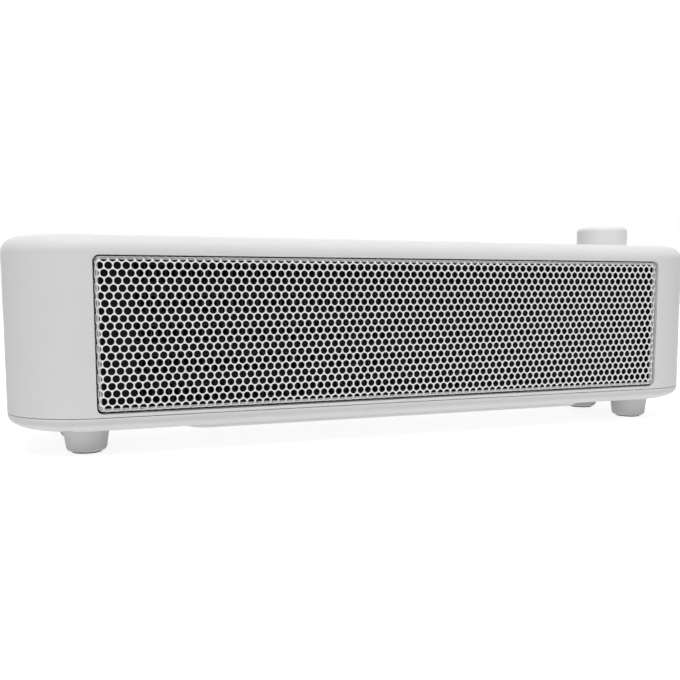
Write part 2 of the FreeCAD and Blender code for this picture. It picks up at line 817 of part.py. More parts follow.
def heater_caps():
    """An end cap at each side, with a pocket for each tube and two screw holes."""
    for side, name in SIDE_NAMES.items():
        middle = f"{side} * (heater_length + cap_width) / 2"
        base = block(
            f"heater_cap_block_{name}", "cap_width", "heater_depth", "rows_height + 2 * cap_margin",
            middle, "heater_middle", "rows_level - cap_margin")
        tools = []
        for row in range(int(number("tube_count"))):
            tools.append(block(
                f"heater_cap_pocket_{name}_{row}", "2 * tube_reach", "heater_depth",
                "tube_height + 2 * cap_fit", f"{side} * heater_length / 2", "heater_middle",
                f"rows_level + fin_height - cap_fit + {row} * (tube_height + fin_height)"))
        for level in SIDE_NAMES:
            tools.append(cylinder(
                f"heater_cap_hole_{name}_{level}", "screw_radius + screw_clearance", "heater_depth",
                f"{side} * cap_screw_x", "frame_back", f"opening_centre + {level} * cap_screw_offset",
                Y_AXIS))
        keep(cut(f"heater_cap_{name}", base, *tools), f"heater_cap_{name}")


def heater_screws():
    screws = [
        screw(
            f"heater_screw_{SIDE_NAMES[side]}_{level}", "heater_depth + frame_step", f"{side} * cap_screw_x",
            "heater_back", f"opening_centre + {level} * cap_screw_offset", Y_AXIS * -1)
        for side in SIDE_NAMES for level in SIDE_NAMES
    ]
    keep(group("heater_screws", screws), "heater_screws")


def heater_tabs():
    """Blade tabs on the right end cap, one for each tube."""
    tabs = [
        block(
            f"heater_tab_{row}", "tab_length", "tab_thickness", "tab_height", "cap_end + tab_length / 2",
            "heater_middle",
            f"rows_level + fin_height + {row} * (tube_height + fin_height) + (tube_height - tab_height) / 2")
        for row in range(int(number("tube_count")))
    ]
    keep(group("heater_tabs", tabs), "heater_tabs")


# Blower

def end_plates():
    """Side walls of the blower, each on a foot that is screwed to two posts of the tray."""
    bores = {-1: "hub_radius + screw_clearance", 1: "bearing_radius"}
    for side, name in SIDE_NAMES.items():
        wall = block(
            f"end_plate_wall_{name}", "plate_thickness", "plate_depth",
            "ceiling - plate_top_gap - blower_post_level", f"{side} * (plate_outside - plate_thickness / 2)",
            "plate_front + plate_depth / 2", "blower_post_level")
        foot = block(
            f"end_plate_foot_{name}", "plate_foot_width", "plate_foot_pitch + plate_foot_width",
            "plate_foot_height", f"{side} * plate_screw_x", "fan_setback", "blower_post_level")
        bore = cylinder(
            f"end_plate_bore_{name}", bores[side], "2 * plate_thickness",
            f"{side} * (blower_length - plate_thickness) / 2", "fan_setback", "opening_centre", X_AXIS * side)
        tools = [bore]
        for end in SIDE_NAMES:
            tools.append(cylinder(
                f"end_plate_hole_{name}_{end}", "screw_radius + screw_clearance", "2 * plate_foot_height",
                f"{side} * plate_screw_x", f"fan_setback + {end} * plate_foot_pitch / 2",
                "blower_post_level - plate_foot_height / 2"))
            if side < 0:
                tools.append(cylinder(
                    f"end_plate_motor_hole_{end}", "screw_radius + thread_clearance", "2 * plate_thickness",
                    "-plate_outside - plate_thickness / 2", f"fan_setback + {end} * motor_screw_pitch / 2",
                    "opening_centre", X_AXIS))
        form = fuse(f"end_plate_form_{name}", wall, foot)
        keep(cut(f"end_plate_{name}", form, *tools), f"end_plate_{name}")


def blower_screws():
    screws = [
        screw(
            f"blower_screw_{SIDE_NAMES[side]}_{end}", "blower_screw_length", f"{side} * plate_screw_x",
            f"fan_setback + {end} * plate_foot_pitch / 2", "blower_post_level + plate_foot_height",
            Z_AXIS * -1)
        for side in SIDE_NAMES for end in SIDE_NAMES
    ]
    keep(group("blower_screws", screws), "blower_screws")


def fan_point(radius, degrees, x=0):
    """A point round the fan's axis: 0 degrees points to the back and 90 degrees up."""
    angle = math.radians(degrees)
    y = number("fan_setback") + radius * math.cos(angle)
    z = number("opening_centre") + radius * math.sin(angle)
    return Vector(x, y, z)


def scroll():
    """Curved guide behind and below the rotor, running on to the heater's lower edge."""
    start = number("scroll_start_angle")
    end = number("scroll_end_angle")
    inside = number("scroll_radius")
    outside = inside + number("scroll_thickness")
    left = -number("blower_length") / 2
    heading = Vector(0, math.sin(math.radians(end)), -math.cos(math.radians(end)))
    run = fan_point(inside, end).y - number("plate_front")
    lead = heading * (run / -heading.y)

    def bend(radius):
        places = [fan_point(radius, angle, left) for angle in (start, (start + end) / 2, end)]
        return Part.Arc(*places).toShape(), places[0], places[-1]

    inner, inner_start, inner_end = bend(inside)
    outer, outer_start, outer_end = bend(outside)
    edges = [
        inner,
        Part.makeLine(inner_end, inner_end + lead),
        Part.makeLine(inner_end + lead, outer_end + lead),
        Part.makeLine(outer_end + lead, outer_end),
        outer,
        Part.makeLine(outer_start, inner_start),
    ]
    profile = Part.Face(Part.Wire(Part.__sortEdges__(edges)))
    shaped("scroll", profile.extrude(X_AXIS * number("blower_length")))


def vortex_tongue():
    """Bent sheet above the rotor: it parts the air drawn in from the air blown out."""
    tip = fan_point(number("rotor_radius") + number("vortex_gap"), number("vortex_angle"))
    heater_top = number("rows_level") + number("rows_height")
    away = math.radians(number("vortex_lip_angle"))
    lip = number("vortex_lip")
    run = [
        (tip.y + lip * math.cos(away), tip.z + lip * math.sin(away)),
        (tip.y, tip.z),
        (number("plate_front"), heater_top),
    ]
    left = -number("blower_length") / 2
    outline = [Vector(left, u, v) for u, v in ribbon(run, -number("scroll_thickness"))]
    shaped("vortex_tongue", prism(outline, X_AXIS * number("blower_length")))


def fan_blade(index):
    """One curved blade, from the rotor's inner radius to its rim."""
    outer = number("rotor_radius")
    inner = number("rotor_inner_radius")
    start = 360 * index / number("blade_count")
    left = -number("rotor_end")
    middle = (inner + outer) / 2
    width = math.degrees(number("blade_thickness") / middle)
    course = ((inner, 0), (middle, number("blade_middle_lean")), (outer, number("blade_lean")))
    near = [fan_point(radius, start + turn, left) for radius, turn in course]
    far = [fan_point(radius, start + turn + width, left) for radius, turn in course]
    edges = [
        Part.Arc(*near).toShape(),
        Part.makeLine(near[2], far[2]),
        Part.Arc(*far).toShape(),
        Part.makeLine(far[0], near[0]),
    ]
    profile = Part.Face(Part.Wire(Part.__sortEdges__(edges)))
    return profile.extrude(X_AXIS * (2 * number("rotor_end")))


def fan_rotor():
    """Blades on end discs and ring discs, with a hub at each end for the shafts."""
    outer = number("rotor_radius")
    end = number("rotor_end")
    thickness = number("disc_thickness")
    count = int(number("disc_count"))
    axis_start = fan_point(0, 0)
    solids = [fan_blade(index) for index in range(int(number("blade_count")))]
    for index in range(count):
        x = -end + index * (2 * end - thickness) / (count - 1)
        disc = Part.makeCylinder(outer, thickness, axis_start + X_AXIS * x, X_AXIS)
        if 0 < index < count - 1:
            opening = Part.makeCylinder(
                number("rotor_inner_radius") - thickness, thickness, axis_start + X_AXIS * x, X_AXIS)
            disc = disc.cut(opening)
        solids.append(disc)
    hub_length = number("hub_length")
    bore = number("shaft_radius")
    rotor = solids[-1].fuse(solids[:-1])
    for side in SIDE_NAMES:
        at = axis_start + X_AXIS * (side * end)
        rotor = rotor.fuse(Part.makeCylinder(number("hub_radius"), hub_length, at, X_AXIS * -side))
        rotor = rotor.cut(Part.makeCylinder(bore, hub_length, at, X_AXIS * -side))
    shaped("fan_rotor", rotor)


def fan_shafts():
    """The motor's shaft drives the left hub, and a stub shaft runs in a bearing at the right."""
    motor_length = "motor_end + motor_shaft_overhang - rotor_end + hub_length - hub_screw_gap"
    keep(cylinder(
        "motor_shaft", "shaft_radius", motor_length, "-(motor_end + motor_shaft_overhang)",
        "fan_setback", "opening_centre", X_AXIS), "motor_shaft")
    stub_start = "rotor_end - hub_length + hub_screw_gap"
    stub_end = "blower_length / 2 + plate_thickness / 2 + bearing_length / 2 + stub_overhang"
    keep(cylinder(
        "stub_shaft", "shaft_radius", f"{stub_end} - ({stub_start})", stub_start,
        "fan_setback", "opening_centre", X_AXIS), "stub_shaft")


def fan_bearing():
    start = "blower_length / 2 + plate_thickness / 2 - bearing_length / 2"
    bush = cylinder(
        "fan_bearing_bush", "bearing_radius", "bearing_length", start, "fan_setback", "opening_centre",
        X_AXIS)
    bore = cylinder(
        "fan_bearing_bore", "shaft_radius + shaft_fit", "bearing_length", start, "fan_setback",
        "opening_centre", X_AXIS)
    keep(cut("fan_bearing", bush, bore), "fan_bearing")


# Motor

def motor_hole(name, start, length, radius, offset="0"):
    """A hole along X through the motor, at a distance from its axis."""
    left = f"-({start}) - ({length})"
    return cylinder(name, radius, length, left, f"fan_setback + {offset}", "opening_centre", X_AXIS)


def motor_stator():
    height = "stator_below + stator_above"
    middle = "-(stator_start + stator_end) / 2"
    core = block(
        "stator_core", "stator_thickness", "stator_width", height, middle, "fan_setback",
        "opening_centre - stator_below")
    window = block(
        "stator_window", "2 * stator_thickness", "window_width", "window_height", middle, "fan_setback",
        "opening_centre + window_level")
    tools = [window, motor_hole("stator_bore", "stator_start", "stator_thickness", "stator_bore_radius")]
    for end in SIDE_NAMES:
        tools.append(motor_hole(
            f"stator_hole_{end}", "stator_start", "stator_thickness", "screw_radius + screw_clearance",
            f"{end} * motor_screw_pitch / 2"))
    keep(cut("motor_stator", core, *tools), "motor_stator")


def motor_coil():
    """The winding, round the bar above the stator's window."""
    middle = "-(stator_start + stator_end) / 2"
    bar_level = "opening_centre + window_level + window_height"
    bar_height = "stator_above - window_level - window_height"
    winding = block(
        "coil_winding", "stator_thickness + 2 * coil_build", "window_width - 2 * coil_fit",
        f"{bar_height} + 2 * coil_build", middle, "fan_setback", f"{bar_level} - coil_build")
    core = block(
        "coil_core", "stator_thickness + 2 * coil_fit", "2 * window_width", f"{bar_height} + 2 * coil_fit",
        middle, "fan_setback", f"{bar_level} - coil_fit")
    keep(cut("motor_coil", winding, core), "motor_coil")


def motor_brackets():
    """A strip at each side of the stator, with a bearing hole in its middle."""
    for name, start in (("inner", "bracket_start"), ("outer", "outer_bracket_start")):
        strip = block(
            f"motor_strip_{name}", "bracket_thickness", "stator_width", "bracket_height",
            f"-({start} + bracket_thickness / 2)", "fan_setback", "opening_centre - bracket_height / 2")
        bore = motor_hole(f"motor_strip_bore_{name}", start, "bracket_thickness", "shaft_radius + shaft_fit")
        tools = [bore]
        for end in SIDE_NAMES:
            tools.append(motor_hole(
                f"motor_strip_hole_{name}_{end}", start, "bracket_thickness",
                "screw_radius + screw_clearance", f"{end} * motor_screw_pitch / 2"))
        keep(cut(f"motor_bracket_{name}", strip, *tools), f"motor_bracket_{name}")


def motor_fixings():
    """Rubber spacers and sleeves on two long screws that hold the motor to the left end plate."""
    rings = []
    screws = []
    stations = {
        "plate": ("plate_outside", "spacer_length"),
        "inner": ("bracket_start + bracket_thickness", "bracket_gap"),
        "outer": ("stator_end", "bracket_gap"),
    }
    for end in SIDE_NAMES:
        offset = f"{end} * motor_screw_pitch / 2"
        for name, (start, length) in stations.items():
            ring = motor_hole(f"spacer_ring_{name}_{end}", start, length, "spacer_radius", offset)
            bore = motor_hole(
                f"spacer_bore_{name}_{end}", start, length, "screw_radius + screw_clearance", offset)
            rings.append(cut(f"spacer_{name}_{end}", ring, bore))
        screws.append(screw(
            f"motor_screw_{end}", "motor_end - plate_outside + plate_thickness", "-motor_end",
            f"fan_setback + {offset}", "opening_centre", X_AXIS))
    keep(group("motor_spacers", rings), "motor_spacers")
    keep(group("motor_screws", screws), "motor_screws")


def motor_rotor():
    length = "stator_thickness"
    drum = motor_hole("motor_rotor_drum", "stator_start", length, "stator_bore_radius - air_gap")
    bore = motor_hole("motor_rotor_bore", "stator_start", length, "shaft_radius")
    keep(cut("motor_rotor", drum, bore), "motor_rotor")


# Rotary switch and knob

def knob():
    """A plain round knob with a pointer groove in its top, hollow underneath, with a hub for the shaft."""
    body = keep(new_body("knob"), "knob")
    place(body, "knob_x", "knob_y", "0")
    rim = new_sketch(body, "rim", "knob_bottom")
    draw_circle(rim, "knob_radius")
    outside = pad(body, rim, "knob_height")
    top = "knob_bottom + knob_height"
    dress("Fillet", body, outside, "edge", at_level(top), Radius="knob_edge_radius")
    hollow = new_sketch(body, "hollow", "knob_bottom")
    draw_circle(hollow, "knob_radius - knob_wall")
    pocket(body, hollow, "knob_height - knob_wall", flip=True)
    hub = new_sketch(body, "hub", "knob_hub_bottom")
    draw_circle(hub, "knob_hub_radius")
    pad(body, hub, "knob_roof - knob_hub_bottom")
    bore = new_sketch(body, "bore", "knob_hub_bottom")
    draw_circle(bore, "selector_radius")
    pocket(body, bore, "selector_top - knob_hub_bottom", flip=True)
    mark = new_sketch(body, "mark", top)
    mark_y = "knob_mark_length / 2 + 2 * knob_edge_radius - knob_radius"
    draw_rounded_rectangle(mark, "knob_mark_width", "knob_mark_length", "knob_mark_width / 3", y=mark_y)
    pocket(body, mark, "knob_mark_depth")


def rotary_switch():
    """A square switch under the top, its threaded bush through the shell and a nut on the bush."""
    case = block(
        "switch_case", "switch_width", "switch_width", "switch_height", "knob_x", "knob_y",
        "ceiling - switch_height")
    bush = cylinder("switch_bush", "bush_radius", "shell_wall + bush_height", "knob_x", "knob_y", "ceiling")
    bore = cylinder(
        "switch_bore", "selector_radius + shaft_fit", "selector_depth + shell_wall + bush_height",
        "knob_x", "knob_y", "ceiling - selector_depth")
    keep(cut("rotary_switch", fuse("switch_form", case, bush), bore), "rotary_switch")
    selector = cylinder(
        "selector_shaft", "selector_radius", "selector_top - ceiling + selector_depth - shaft_fit",
        "knob_x", "knob_y", "ceiling - selector_depth + shaft_fit")
    keep(selector, "selector_shaft")
    hexagon = doc.addObject("Part::Prism", "switch_nut_hexagon")
    hexagon.Polygon = 6
    bind(hexagon, Circumradius="nut_radius", Height="nut_height")
    place(hexagon, "knob_x", "knob_y", "body_top")
    thread = cylinder(
        "switch_nut_thread", "bush_radius + thread_clearance", "nut_height", "knob_x", "knob_y", "body_top")
    keep(cut("switch_nut", hexagon, thread), "switch_nut")


# Safety parts and wiring points

def terminal_block():
    """A block on the tray's floor, with a clamping screw for each wire."""
    case = block(
        "terminal_case", "terminal_length", "terminal_width", "terminal_height", "terminal_x",
        z="floor_level")
    top = "floor_level + terminal_height"
    holes = []
    screws = []
    for index in (-1, 0, 1):
        x = f"terminal_x + {index} * terminal_pitch"
        name = f"terminal_{index + 2}"
        holes.append(cylinder(
            f"{name}_hole", "terminal_screw_radius + thread_clearance", "terminal_screw_depth", x, "0",
            f"{top} - terminal_screw_depth"))
        screws.append(cylinder(
            f"{name}_screw", "terminal_screw_radius", "terminal_screw_depth / 2", x, "0",
            f"{top} - terminal_screw_depth"))
    keep(cut("terminal_block", case, *holes), "terminal_block")
    keep(group("terminal_screws", screws), "terminal_screws")


def thermal_parts():
    """A round cut-out on the right end plate and a fuse on the right heater cap."""
    keep(cylinder(
        "thermal_cutout", "cutout_radius", "cutout_length", "plate_outside",
        "plate_front + cutout_radius + cutout_setback", "opening_centre - cutout_drop", X_AXIS),
        "thermal_cutout")
    keep(cylinder(
        "thermal_fuse", "fuse_radius", "fuse_length", "cap_end + fuse_radius", "heater_back - fuse_radius",
        "opening_centre - fuse_length / 2"), "thermal_fuse")


def tilt_switch():
    """A case on the right end plate, in which a small pendulum hangs from a pin."""
    y = "tilt_y"
    outside = block("tilt_box", "tilt_length", "tilt_width", "tilt_height", "tilt_middle", y, "tilt_bottom")
    inside = block(
        "tilt_hollow", "tilt_length - 2 * tilt_wall", "tilt_width - 2 * tilt_wall",
        "tilt_height - 2 * tilt_wall", "tilt_middle", y, "tilt_bottom + tilt_wall")

    def along_pin(name, radius, level="tilt_pin_level", inset="0"):
        """A round form along X inside the case, drawn in from both ends by an inset."""
        length = f"tilt_length - 2 * ({inset})"
        return cylinder(name, radius, length, f"plate_outside + {inset}", y, level, X_AXIS)

    seat = along_pin("tilt_seat", "tilt_pin_radius")
    keep(cut("tilt_case", outside, inside, seat), "tilt_case")
    keep(along_pin("tilt_pin", "tilt_pin_radius"), "tilt_pin")
    bob_level = "tilt_pin_level - tilt_swing_radius"
    eye = along_pin("tilt_eye", "tilt_eye_radius", inset="2 * tilt_wall")
    arm = cylinder("tilt_arm", "tilt_arm_radius", "tilt_swing_radius", "tilt_middle", y, bob_level)
    bob = along_pin("tilt_bob", "tilt_bob_radius", bob_level, "2 * tilt_wall")
    bore = along_pin("tilt_eye_bore", "tilt_pin_radius + shaft_fit")
    keep(cut("tilt_pendulum", fuse("tilt_form", eye, arm, bob), bore), "tilt_pendulum")


# Rear of the housing

def rear_intake_panel():
    """A slotted panel that fills the rear opening and is held by a flange inside the wall."""
    body = new_body("rear_panel_blank")
    flange = new_sketch(body, "flange", "back_inside - intake_flange", "XZ_Plane")
    draw_rounded_rectangle(
        flange, "intake_width + 2 * intake_overlap", "intake_height + 2 * intake_overlap",
        "intake_radius + intake_overlap", y="opening_centre")
    pad(body, flange, "intake_flange", flip=True)
    plug = new_sketch(body, "plug", "back_inside", "XZ_Plane")
    draw_rounded_rectangle(
        plug, "intake_width - 2 * intake_fit", "intake_height - 2 * intake_fit", "intake_radius - intake_fit",
        y="opening_centre")
    pad(body, plug, "shell_wall", flip=True)
    slots = [
        block(
            f"rear_slot_{index}", "slot_width", "body_depth", "slot_length",
            f"{index} * slot_pitch - slot_spaces * slot_pitch / 2", "body_depth / 2",
            "opening_centre - slot_length / 2")
        for index in range(int(number("slot_spaces")) + 1)
    ]
    keep(cut("rear_intake_panel", body, group("rear_slots", slots)), "rear_intake_panel")


def cord_gland():
    """A bush in the rear wall that the mains cord passes through, held by a flange inside."""
    start = "body_depth / 2 - gland_length"
    barrel = cylinder(
        "gland_barrel", "gland_radius", "gland_length", "gland_x", start, "gland_level", Y_AXIS)
    flange = cylinder(
        "gland_collar", "gland_flange_radius", "gland_flange", "gland_x", "back_inside - gland_flange",
        "gland_level", Y_AXIS)
    bore = cylinder(
        "gland_bore", "gland_bore_radius", "gland_length", "gland_x", start, "gland_level", Y_AXIS)
    keep(cut("cord_gland", fuse("gland_form", barrel, flange), bore), "cord_gland")


def check_document():
    """Stop if any object failed or any sub-part has no sound solid."""
    failed = [thing.Name for thing in doc.Objects if {"Invalid", "Error"} & set(thing.State)]
    if failed:
        raise RuntimeError(f"objects that failed: {failed}")
    for thing in sub_parts:
        if thing.Shape.isNull() or not thing.Shape.isValid() or not thing.Shape.Solids:
            raise RuntimeError(f"{thing.Label} has no sound solid")


def write_parts():
    os.makedirs("parts", exist_ok=True)
    for thing in sub_parts:
        thing.Shape.exportStep(f"parts/{thing.Label}.step")
        solids = thing.Shape.Solids
        print(f"{thing.Label}: {len(solids)} solids, {sum(s.Volume for s in solids) / 1000:.2f} cm3")


upper_shell()
base_tray()
feet()
base_screws()
front_grille()
grille_collar()
outlet_frame()
fin_strips()
heater_tubes()
heater_caps()
heater_screws()
heater_tabs()
end_plates()
blower_screws()
scroll()
vortex_tongue()
fan_rotor()
fan_shafts()
fan_bearing()
motor_stator()
motor_coil()
motor_brackets()
motor_fixings()
motor_rotor()
knob()
rotary_switch()
terminal_block()
thermal_parts()
tilt_switch()
rear_intake_panel()
cord_gland()
doc.recompute()
check_document()
write_parts()
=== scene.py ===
# %% [markdown]
# # A small fan heater, dressed for the studio
# The packed solids are the frame of this scene: they have the real sizes and places already.
# This lesson adds what plain solids lack, which is soft edges, a sheet full of punched holes, and finishes.
# New pieces read their places from the solids' boxes, so nothing has to be fitted by eye.
# Lengths are written in millimetres, as on a drawing, and become metres when a mesh is made.

import math

import bmesh
import bpy
from mathutils import Matrix, Vector


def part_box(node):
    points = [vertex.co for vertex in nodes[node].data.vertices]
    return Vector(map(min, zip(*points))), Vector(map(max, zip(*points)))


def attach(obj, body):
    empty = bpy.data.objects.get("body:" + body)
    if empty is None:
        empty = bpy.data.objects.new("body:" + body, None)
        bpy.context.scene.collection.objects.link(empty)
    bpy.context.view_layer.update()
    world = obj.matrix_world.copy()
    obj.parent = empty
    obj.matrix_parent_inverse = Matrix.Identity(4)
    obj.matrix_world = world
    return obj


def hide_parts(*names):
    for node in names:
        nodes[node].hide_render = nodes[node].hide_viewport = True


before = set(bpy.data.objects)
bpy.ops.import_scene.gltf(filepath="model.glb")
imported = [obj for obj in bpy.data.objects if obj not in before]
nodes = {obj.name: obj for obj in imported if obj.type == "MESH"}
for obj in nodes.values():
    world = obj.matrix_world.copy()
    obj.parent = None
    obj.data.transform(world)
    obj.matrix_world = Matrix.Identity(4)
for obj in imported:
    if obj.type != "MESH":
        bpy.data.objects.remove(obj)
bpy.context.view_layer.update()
scene = bpy.context.scene
MM = 0.001


def node_box(name):
    """A node's lowest and highest corner, in millimetres."""
    low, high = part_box(name)
    return low / MM, high / MM


# %% [markdown]
# ## The camera
# The picture was taken from the front left, a little above the middle of the heater, from close by.
# A camera could be placed by eye, but this near to a long object each small error shows at its ends.
# It was solved instead from the holes of the grille, which have known places on the real object.
# Its lens is given in pixels of the square picture, and the shift keeps the heater as low in the frame.

# %% Camera
PICTURE_SIDE = 680
FOCAL_LENGTH = 855.4
LENS_AXIS = (340.5, 383.1)
CAMERA_PLACE = (-196.2, -453.3, 76.3)
CAMERA_RIGHT = (0.93238, -0.36146, -0.00336)
CAMERA_UP = (0.0408, 0.09599, 0.99455)
SENSOR_WIDTH = 36
NEAREST_SEEN = 10

lens = bpy.data.cameras.new("studio_camera")
lens.sensor_width = SENSOR_WIDTH
lens.lens = SENSOR_WIDTH * FOCAL_LENGTH / PICTURE_SIDE
lens.shift_x = (PICTURE_SIDE / 2 - LENS_AXIS[0]) / PICTURE_SIDE
lens.shift_y = (LENS_AXIS[1] - PICTURE_SIDE / 2) / PICTURE_SIDE
lens.clip_start = NEAREST_SEEN * MM
camera = bpy.data.objects.new("studio_camera", lens)
scene.collection.objects.link(camera)
scene.camera = camera
right = Vector(CAMERA_RIGHT).normalized()
back = right.cross(Vector(CAMERA_UP)).normalized()
turn = Matrix((right, back.cross(right), back)).transposed()
camera.matrix_world = Matrix.Translation(Vector(CAMERA_PLACE) * MM) @ turn.to_4x4()
print(f"camera: {lens.lens:.1f} mm lens, shift {lens.shift_y:.3f}")

# %% [markdown]
# ## The sky
# A studio picture of a white object on white needs a background that is brighter than the object.
# A strong white sky would give it, but it would also flood the object and wash out its form.
# A light path tells which rays go to the eye or into a reflection: those see white, and all others
# see a sky that is almost dark, so the lamps alone shape the object.

# %% Sky
SKY_LIGHT = 0.05
WHITE = (1, 1, 1, 1)

scene.view_settings.view_transform = "Standard"


def is_seen(tree):
    """One for rays that show a surface to the eye, straight or in a mirror or glass, and else nought."""
    path = tree.nodes.new("ShaderNodeLightPath")
    total = path.outputs["Is Camera Ray"]
    for ray in ("Is Glossy Ray", "Is Transmission Ray"):
        either = tree.nodes.new("ShaderNodeMath")
        either.operation = "MAXIMUM"
        tree.links.new(total, either.inputs[0])
        tree.links.new(path.outputs[ray], either.inputs[1])
        total = either.outputs[0]
    return total


def white_sky():
    """A sky that looks white and gives little light."""
    sky = bpy.data.worlds.new("white_studio")
    sky.use_nodes = True
    tree = sky.node_tree
    lit = tree.nodes["Background"]
    lit.inputs["Color"].default_value = WHITE
    lit.inputs["Strength"].default_value = SKY_LIGHT
    shown = tree.nodes.new("ShaderNodeBackground")
    shown.inputs["Color"].default_value = WHITE
    choose = tree.nodes.new("ShaderNodeMixShader")
    tree.links.new(is_seen(tree), choose.inputs["Fac"])
    tree.links.new(lit.outputs[0], choose.inputs[1])
    tree.links.new(shown.outputs[0], choose.inputs[2])
    tree.links.new(choose.outputs[0], tree.nodes["World Output"].inputs["Surface"])
    return sky


scene.world = white_sky()
print(f"sky: white to the eye, {SKY_LIGHT} as a light")

# %% [markdown]
# ## The lamps
# White plastic shows its form only through small steps of tone, so the light is broad and even.
# Area lamps near the object would do, but their light falls off along a body this long, so far lamps
# with a wide disc are used: they give the same soft light everywhere.
# The first hangs above, a little to the front, and makes the top edge the brightest.
# A weaker one beside the camera fills the front.
# The third shines up from below the floor, as on a light table, so that the underside doesn't go dark.
# The last one stands behind, for views of the back.

# %% Lamps
def soft_lamp(name, strength, spread, heading):
    """A far lamp that shines along a heading, from a disc of sky as wide as its spread in degrees."""
    lamp = bpy.data.lights.new(name, "SUN")
    lamp.energy = strength
    lamp.angle = math.radians(spread)
    piece = bpy.data.objects.new(name, lamp)
    piece.rotation_euler = Vector(heading).to_track_quat("-Z", "Y").to_euler()
    scene.collection.objects.link(piece)


soft_lamp("top_light", strength=2.83, spread=46, heading=(0.06, 0.27, -1))
soft_lamp("front_light", strength=0.83, spread=60, heading=(0.48, 0.88, -0.04))
soft_lamp("under_light", strength=1.6, spread=80, heading=(0, 0.15, 1))
soft_lamp("back_light", strength=1.1, spread=60, heading=(-0.3, -1, -0.1))
print(f"lamps: {len(bpy.data.lights)}")

# %% [markdown]
# ## What every finish has
# A real moulding or sheet is never one flat colour: it has a fine grain, and its tone and gloss drift.
# A photographed texture could give that, but it has to be unwrapped onto each piece, and it repeats.
# Here a fine noise bends the light as a grain, and a slow noise moves the tone and the gloss together.
# Both read Object coordinates, so the pattern stays fixed on the piece at its real scale.

# %% Helpers for finishes
DRIFT_SCALE = 28
DRIFT_DETAIL = 3
GRAIN_DETAIL = 2
GLOSS_SWING = 0.05


def link_noise(tree, scale, detail, stretch):
    """A noise over the piece's own coordinates, with features of about 1 / scale metres."""
    place = tree.nodes.new("ShaderNodeTexCoord")
    shape = tree.nodes.new("ShaderNodeMapping")
    shape.inputs["Scale"].default_value = stretch
    noise = tree.nodes.new("ShaderNodeTexNoise")
    noise.inputs["Scale"].default_value = scale
    noise.inputs["Detail"].default_value = detail
    tree.links.new(place.outputs["Object"], shape.inputs["Vector"])
    tree.links.new(shape.outputs["Vector"], noise.inputs["Vector"])
    return noise.outputs["Fac"]


def link_range(tree, source, low, high, start=0.3, end=0.7):
    """Turn the middle of a noise, from start to end, into values between low and high."""
    ramp = tree.nodes.new("ShaderNodeMapRange")
    ramp.inputs["From Min"].default_value = start
    ramp.inputs["From Max"].default_value = end
    ramp.inputs["To Min"].default_value = low
    ramp.inputs["To Max"].default_value = high
    tree.links.new(source, ramp.inputs["Value"])
    return ramp.outputs["Result"]


def link_tone(tree, factor, dark, light):
    """Mix two colours by a factor."""
    mix = tree.nodes.new("ShaderNodeMix")
    mix.data_type = "RGBA"
    mix.inputs["A"].default_value = (*dark, 1)
    mix.inputs["B"].default_value = (*light, 1)
    tree.links.new(factor, mix.inputs["Factor"])
    return mix.outputs["Result"]


def finish(name, colour, roughness, grain, depth, drift, metallic=0.0, stretch=(1, 1, 1), shine=0.5):
    """A finish with grain of a given size and depth in millimetres, and a slow drift of tone and gloss."""
    material = bpy.data.materials.new(name)
    material.use_nodes = True
    tree = material.node_tree
    shader = tree.nodes["Principled BSDF"]
    shader.inputs["Metallic"].default_value = metallic
    shader.inputs["Specular IOR Level"].default_value = shine
    slow = link_noise(tree, DRIFT_SCALE, DRIFT_DETAIL, stretch)
    dark = [channel * (1 - drift) for channel in colour]
    light = [min(channel * (1 + drift), 1) for channel in colour]
    tone = link_tone(tree, link_range(tree, slow, 0, 1), dark, light)
    gloss = link_range(tree, slow, roughness - GLOSS_SWING, roughness + GLOSS_SWING)
    tree.links.new(tone, shader.inputs["Base Color"])
    tree.links.new(gloss, shader.inputs["Roughness"])
    fine = link_noise(tree, 1 / (grain * MM), GRAIN_DETAIL, stretch)
    bump = tree.nodes.new("ShaderNodeBump")
    bump.inputs["Distance"].default_value = depth * MM
    tree.links.new(fine, bump.inputs["Height"])
    tree.links.new(bump.outputs["Normal"], shader.inputs["Normal"])
    return material


def grey(level):
    """A colour with the same level in red, green and blue."""
    return (level, level, level)


print(f"finishes: the tone drifts over about {1 / DRIFT_SCALE / MM:.0f} mm")

# %% [markdown]
# ## The floor
# The heater stands on a plain pale surface that runs into the background without an edge.
# A white floor in bright light would do, but it throws back so much light that the sides lose their form.
# This floor is a middle grey that glows only for the eye, so it looks white and still keeps a soft shadow.
# It casts no shadow itself, so that the lamp below shines through it.

# %% Floor
FLOOR_SIDE = 8000
FLOOR_GREY = 0.55
FLOOR_GLOW = 0.72


def floor_finish():
    """A pale floor with a glow that only the eye sees."""
    material = finish("floor_white", grey(FLOOR_GREY), roughness=0.9, grain=2, depth=0.02, drift=0.005)
    tree = material.node_tree
    shader = tree.nodes["Principled BSDF"]
    shader.inputs["Emission Color"].default_value = WHITE
    glow = tree.nodes.new("ShaderNodeMath")
    glow.operation = "MULTIPLY"
    glow.inputs[1].default_value = FLOOR_GLOW
    tree.links.new(is_seen(tree), glow.inputs[0])
    tree.links.new(glow.outputs[0], shader.inputs["Emission Strength"])
    return material


half = FLOOR_SIDE / 2 * MM
floor_mesh = bpy.data.meshes.new("floor")
floor_corners = [(-half, -half, 0), (half, -half, 0), (half, half, 0), (-half, half, 0)]
floor_mesh.from_pydata(floor_corners, [], [(0, 1, 2, 3)])
floor_mesh.materials.append(floor_finish())
floor = bpy.data.objects.new("floor", floor_mesh)
floor.visible_shadow = False
scene.collection.objects.link(floor)
print(f"floor: {2 * half:.0f} m square")

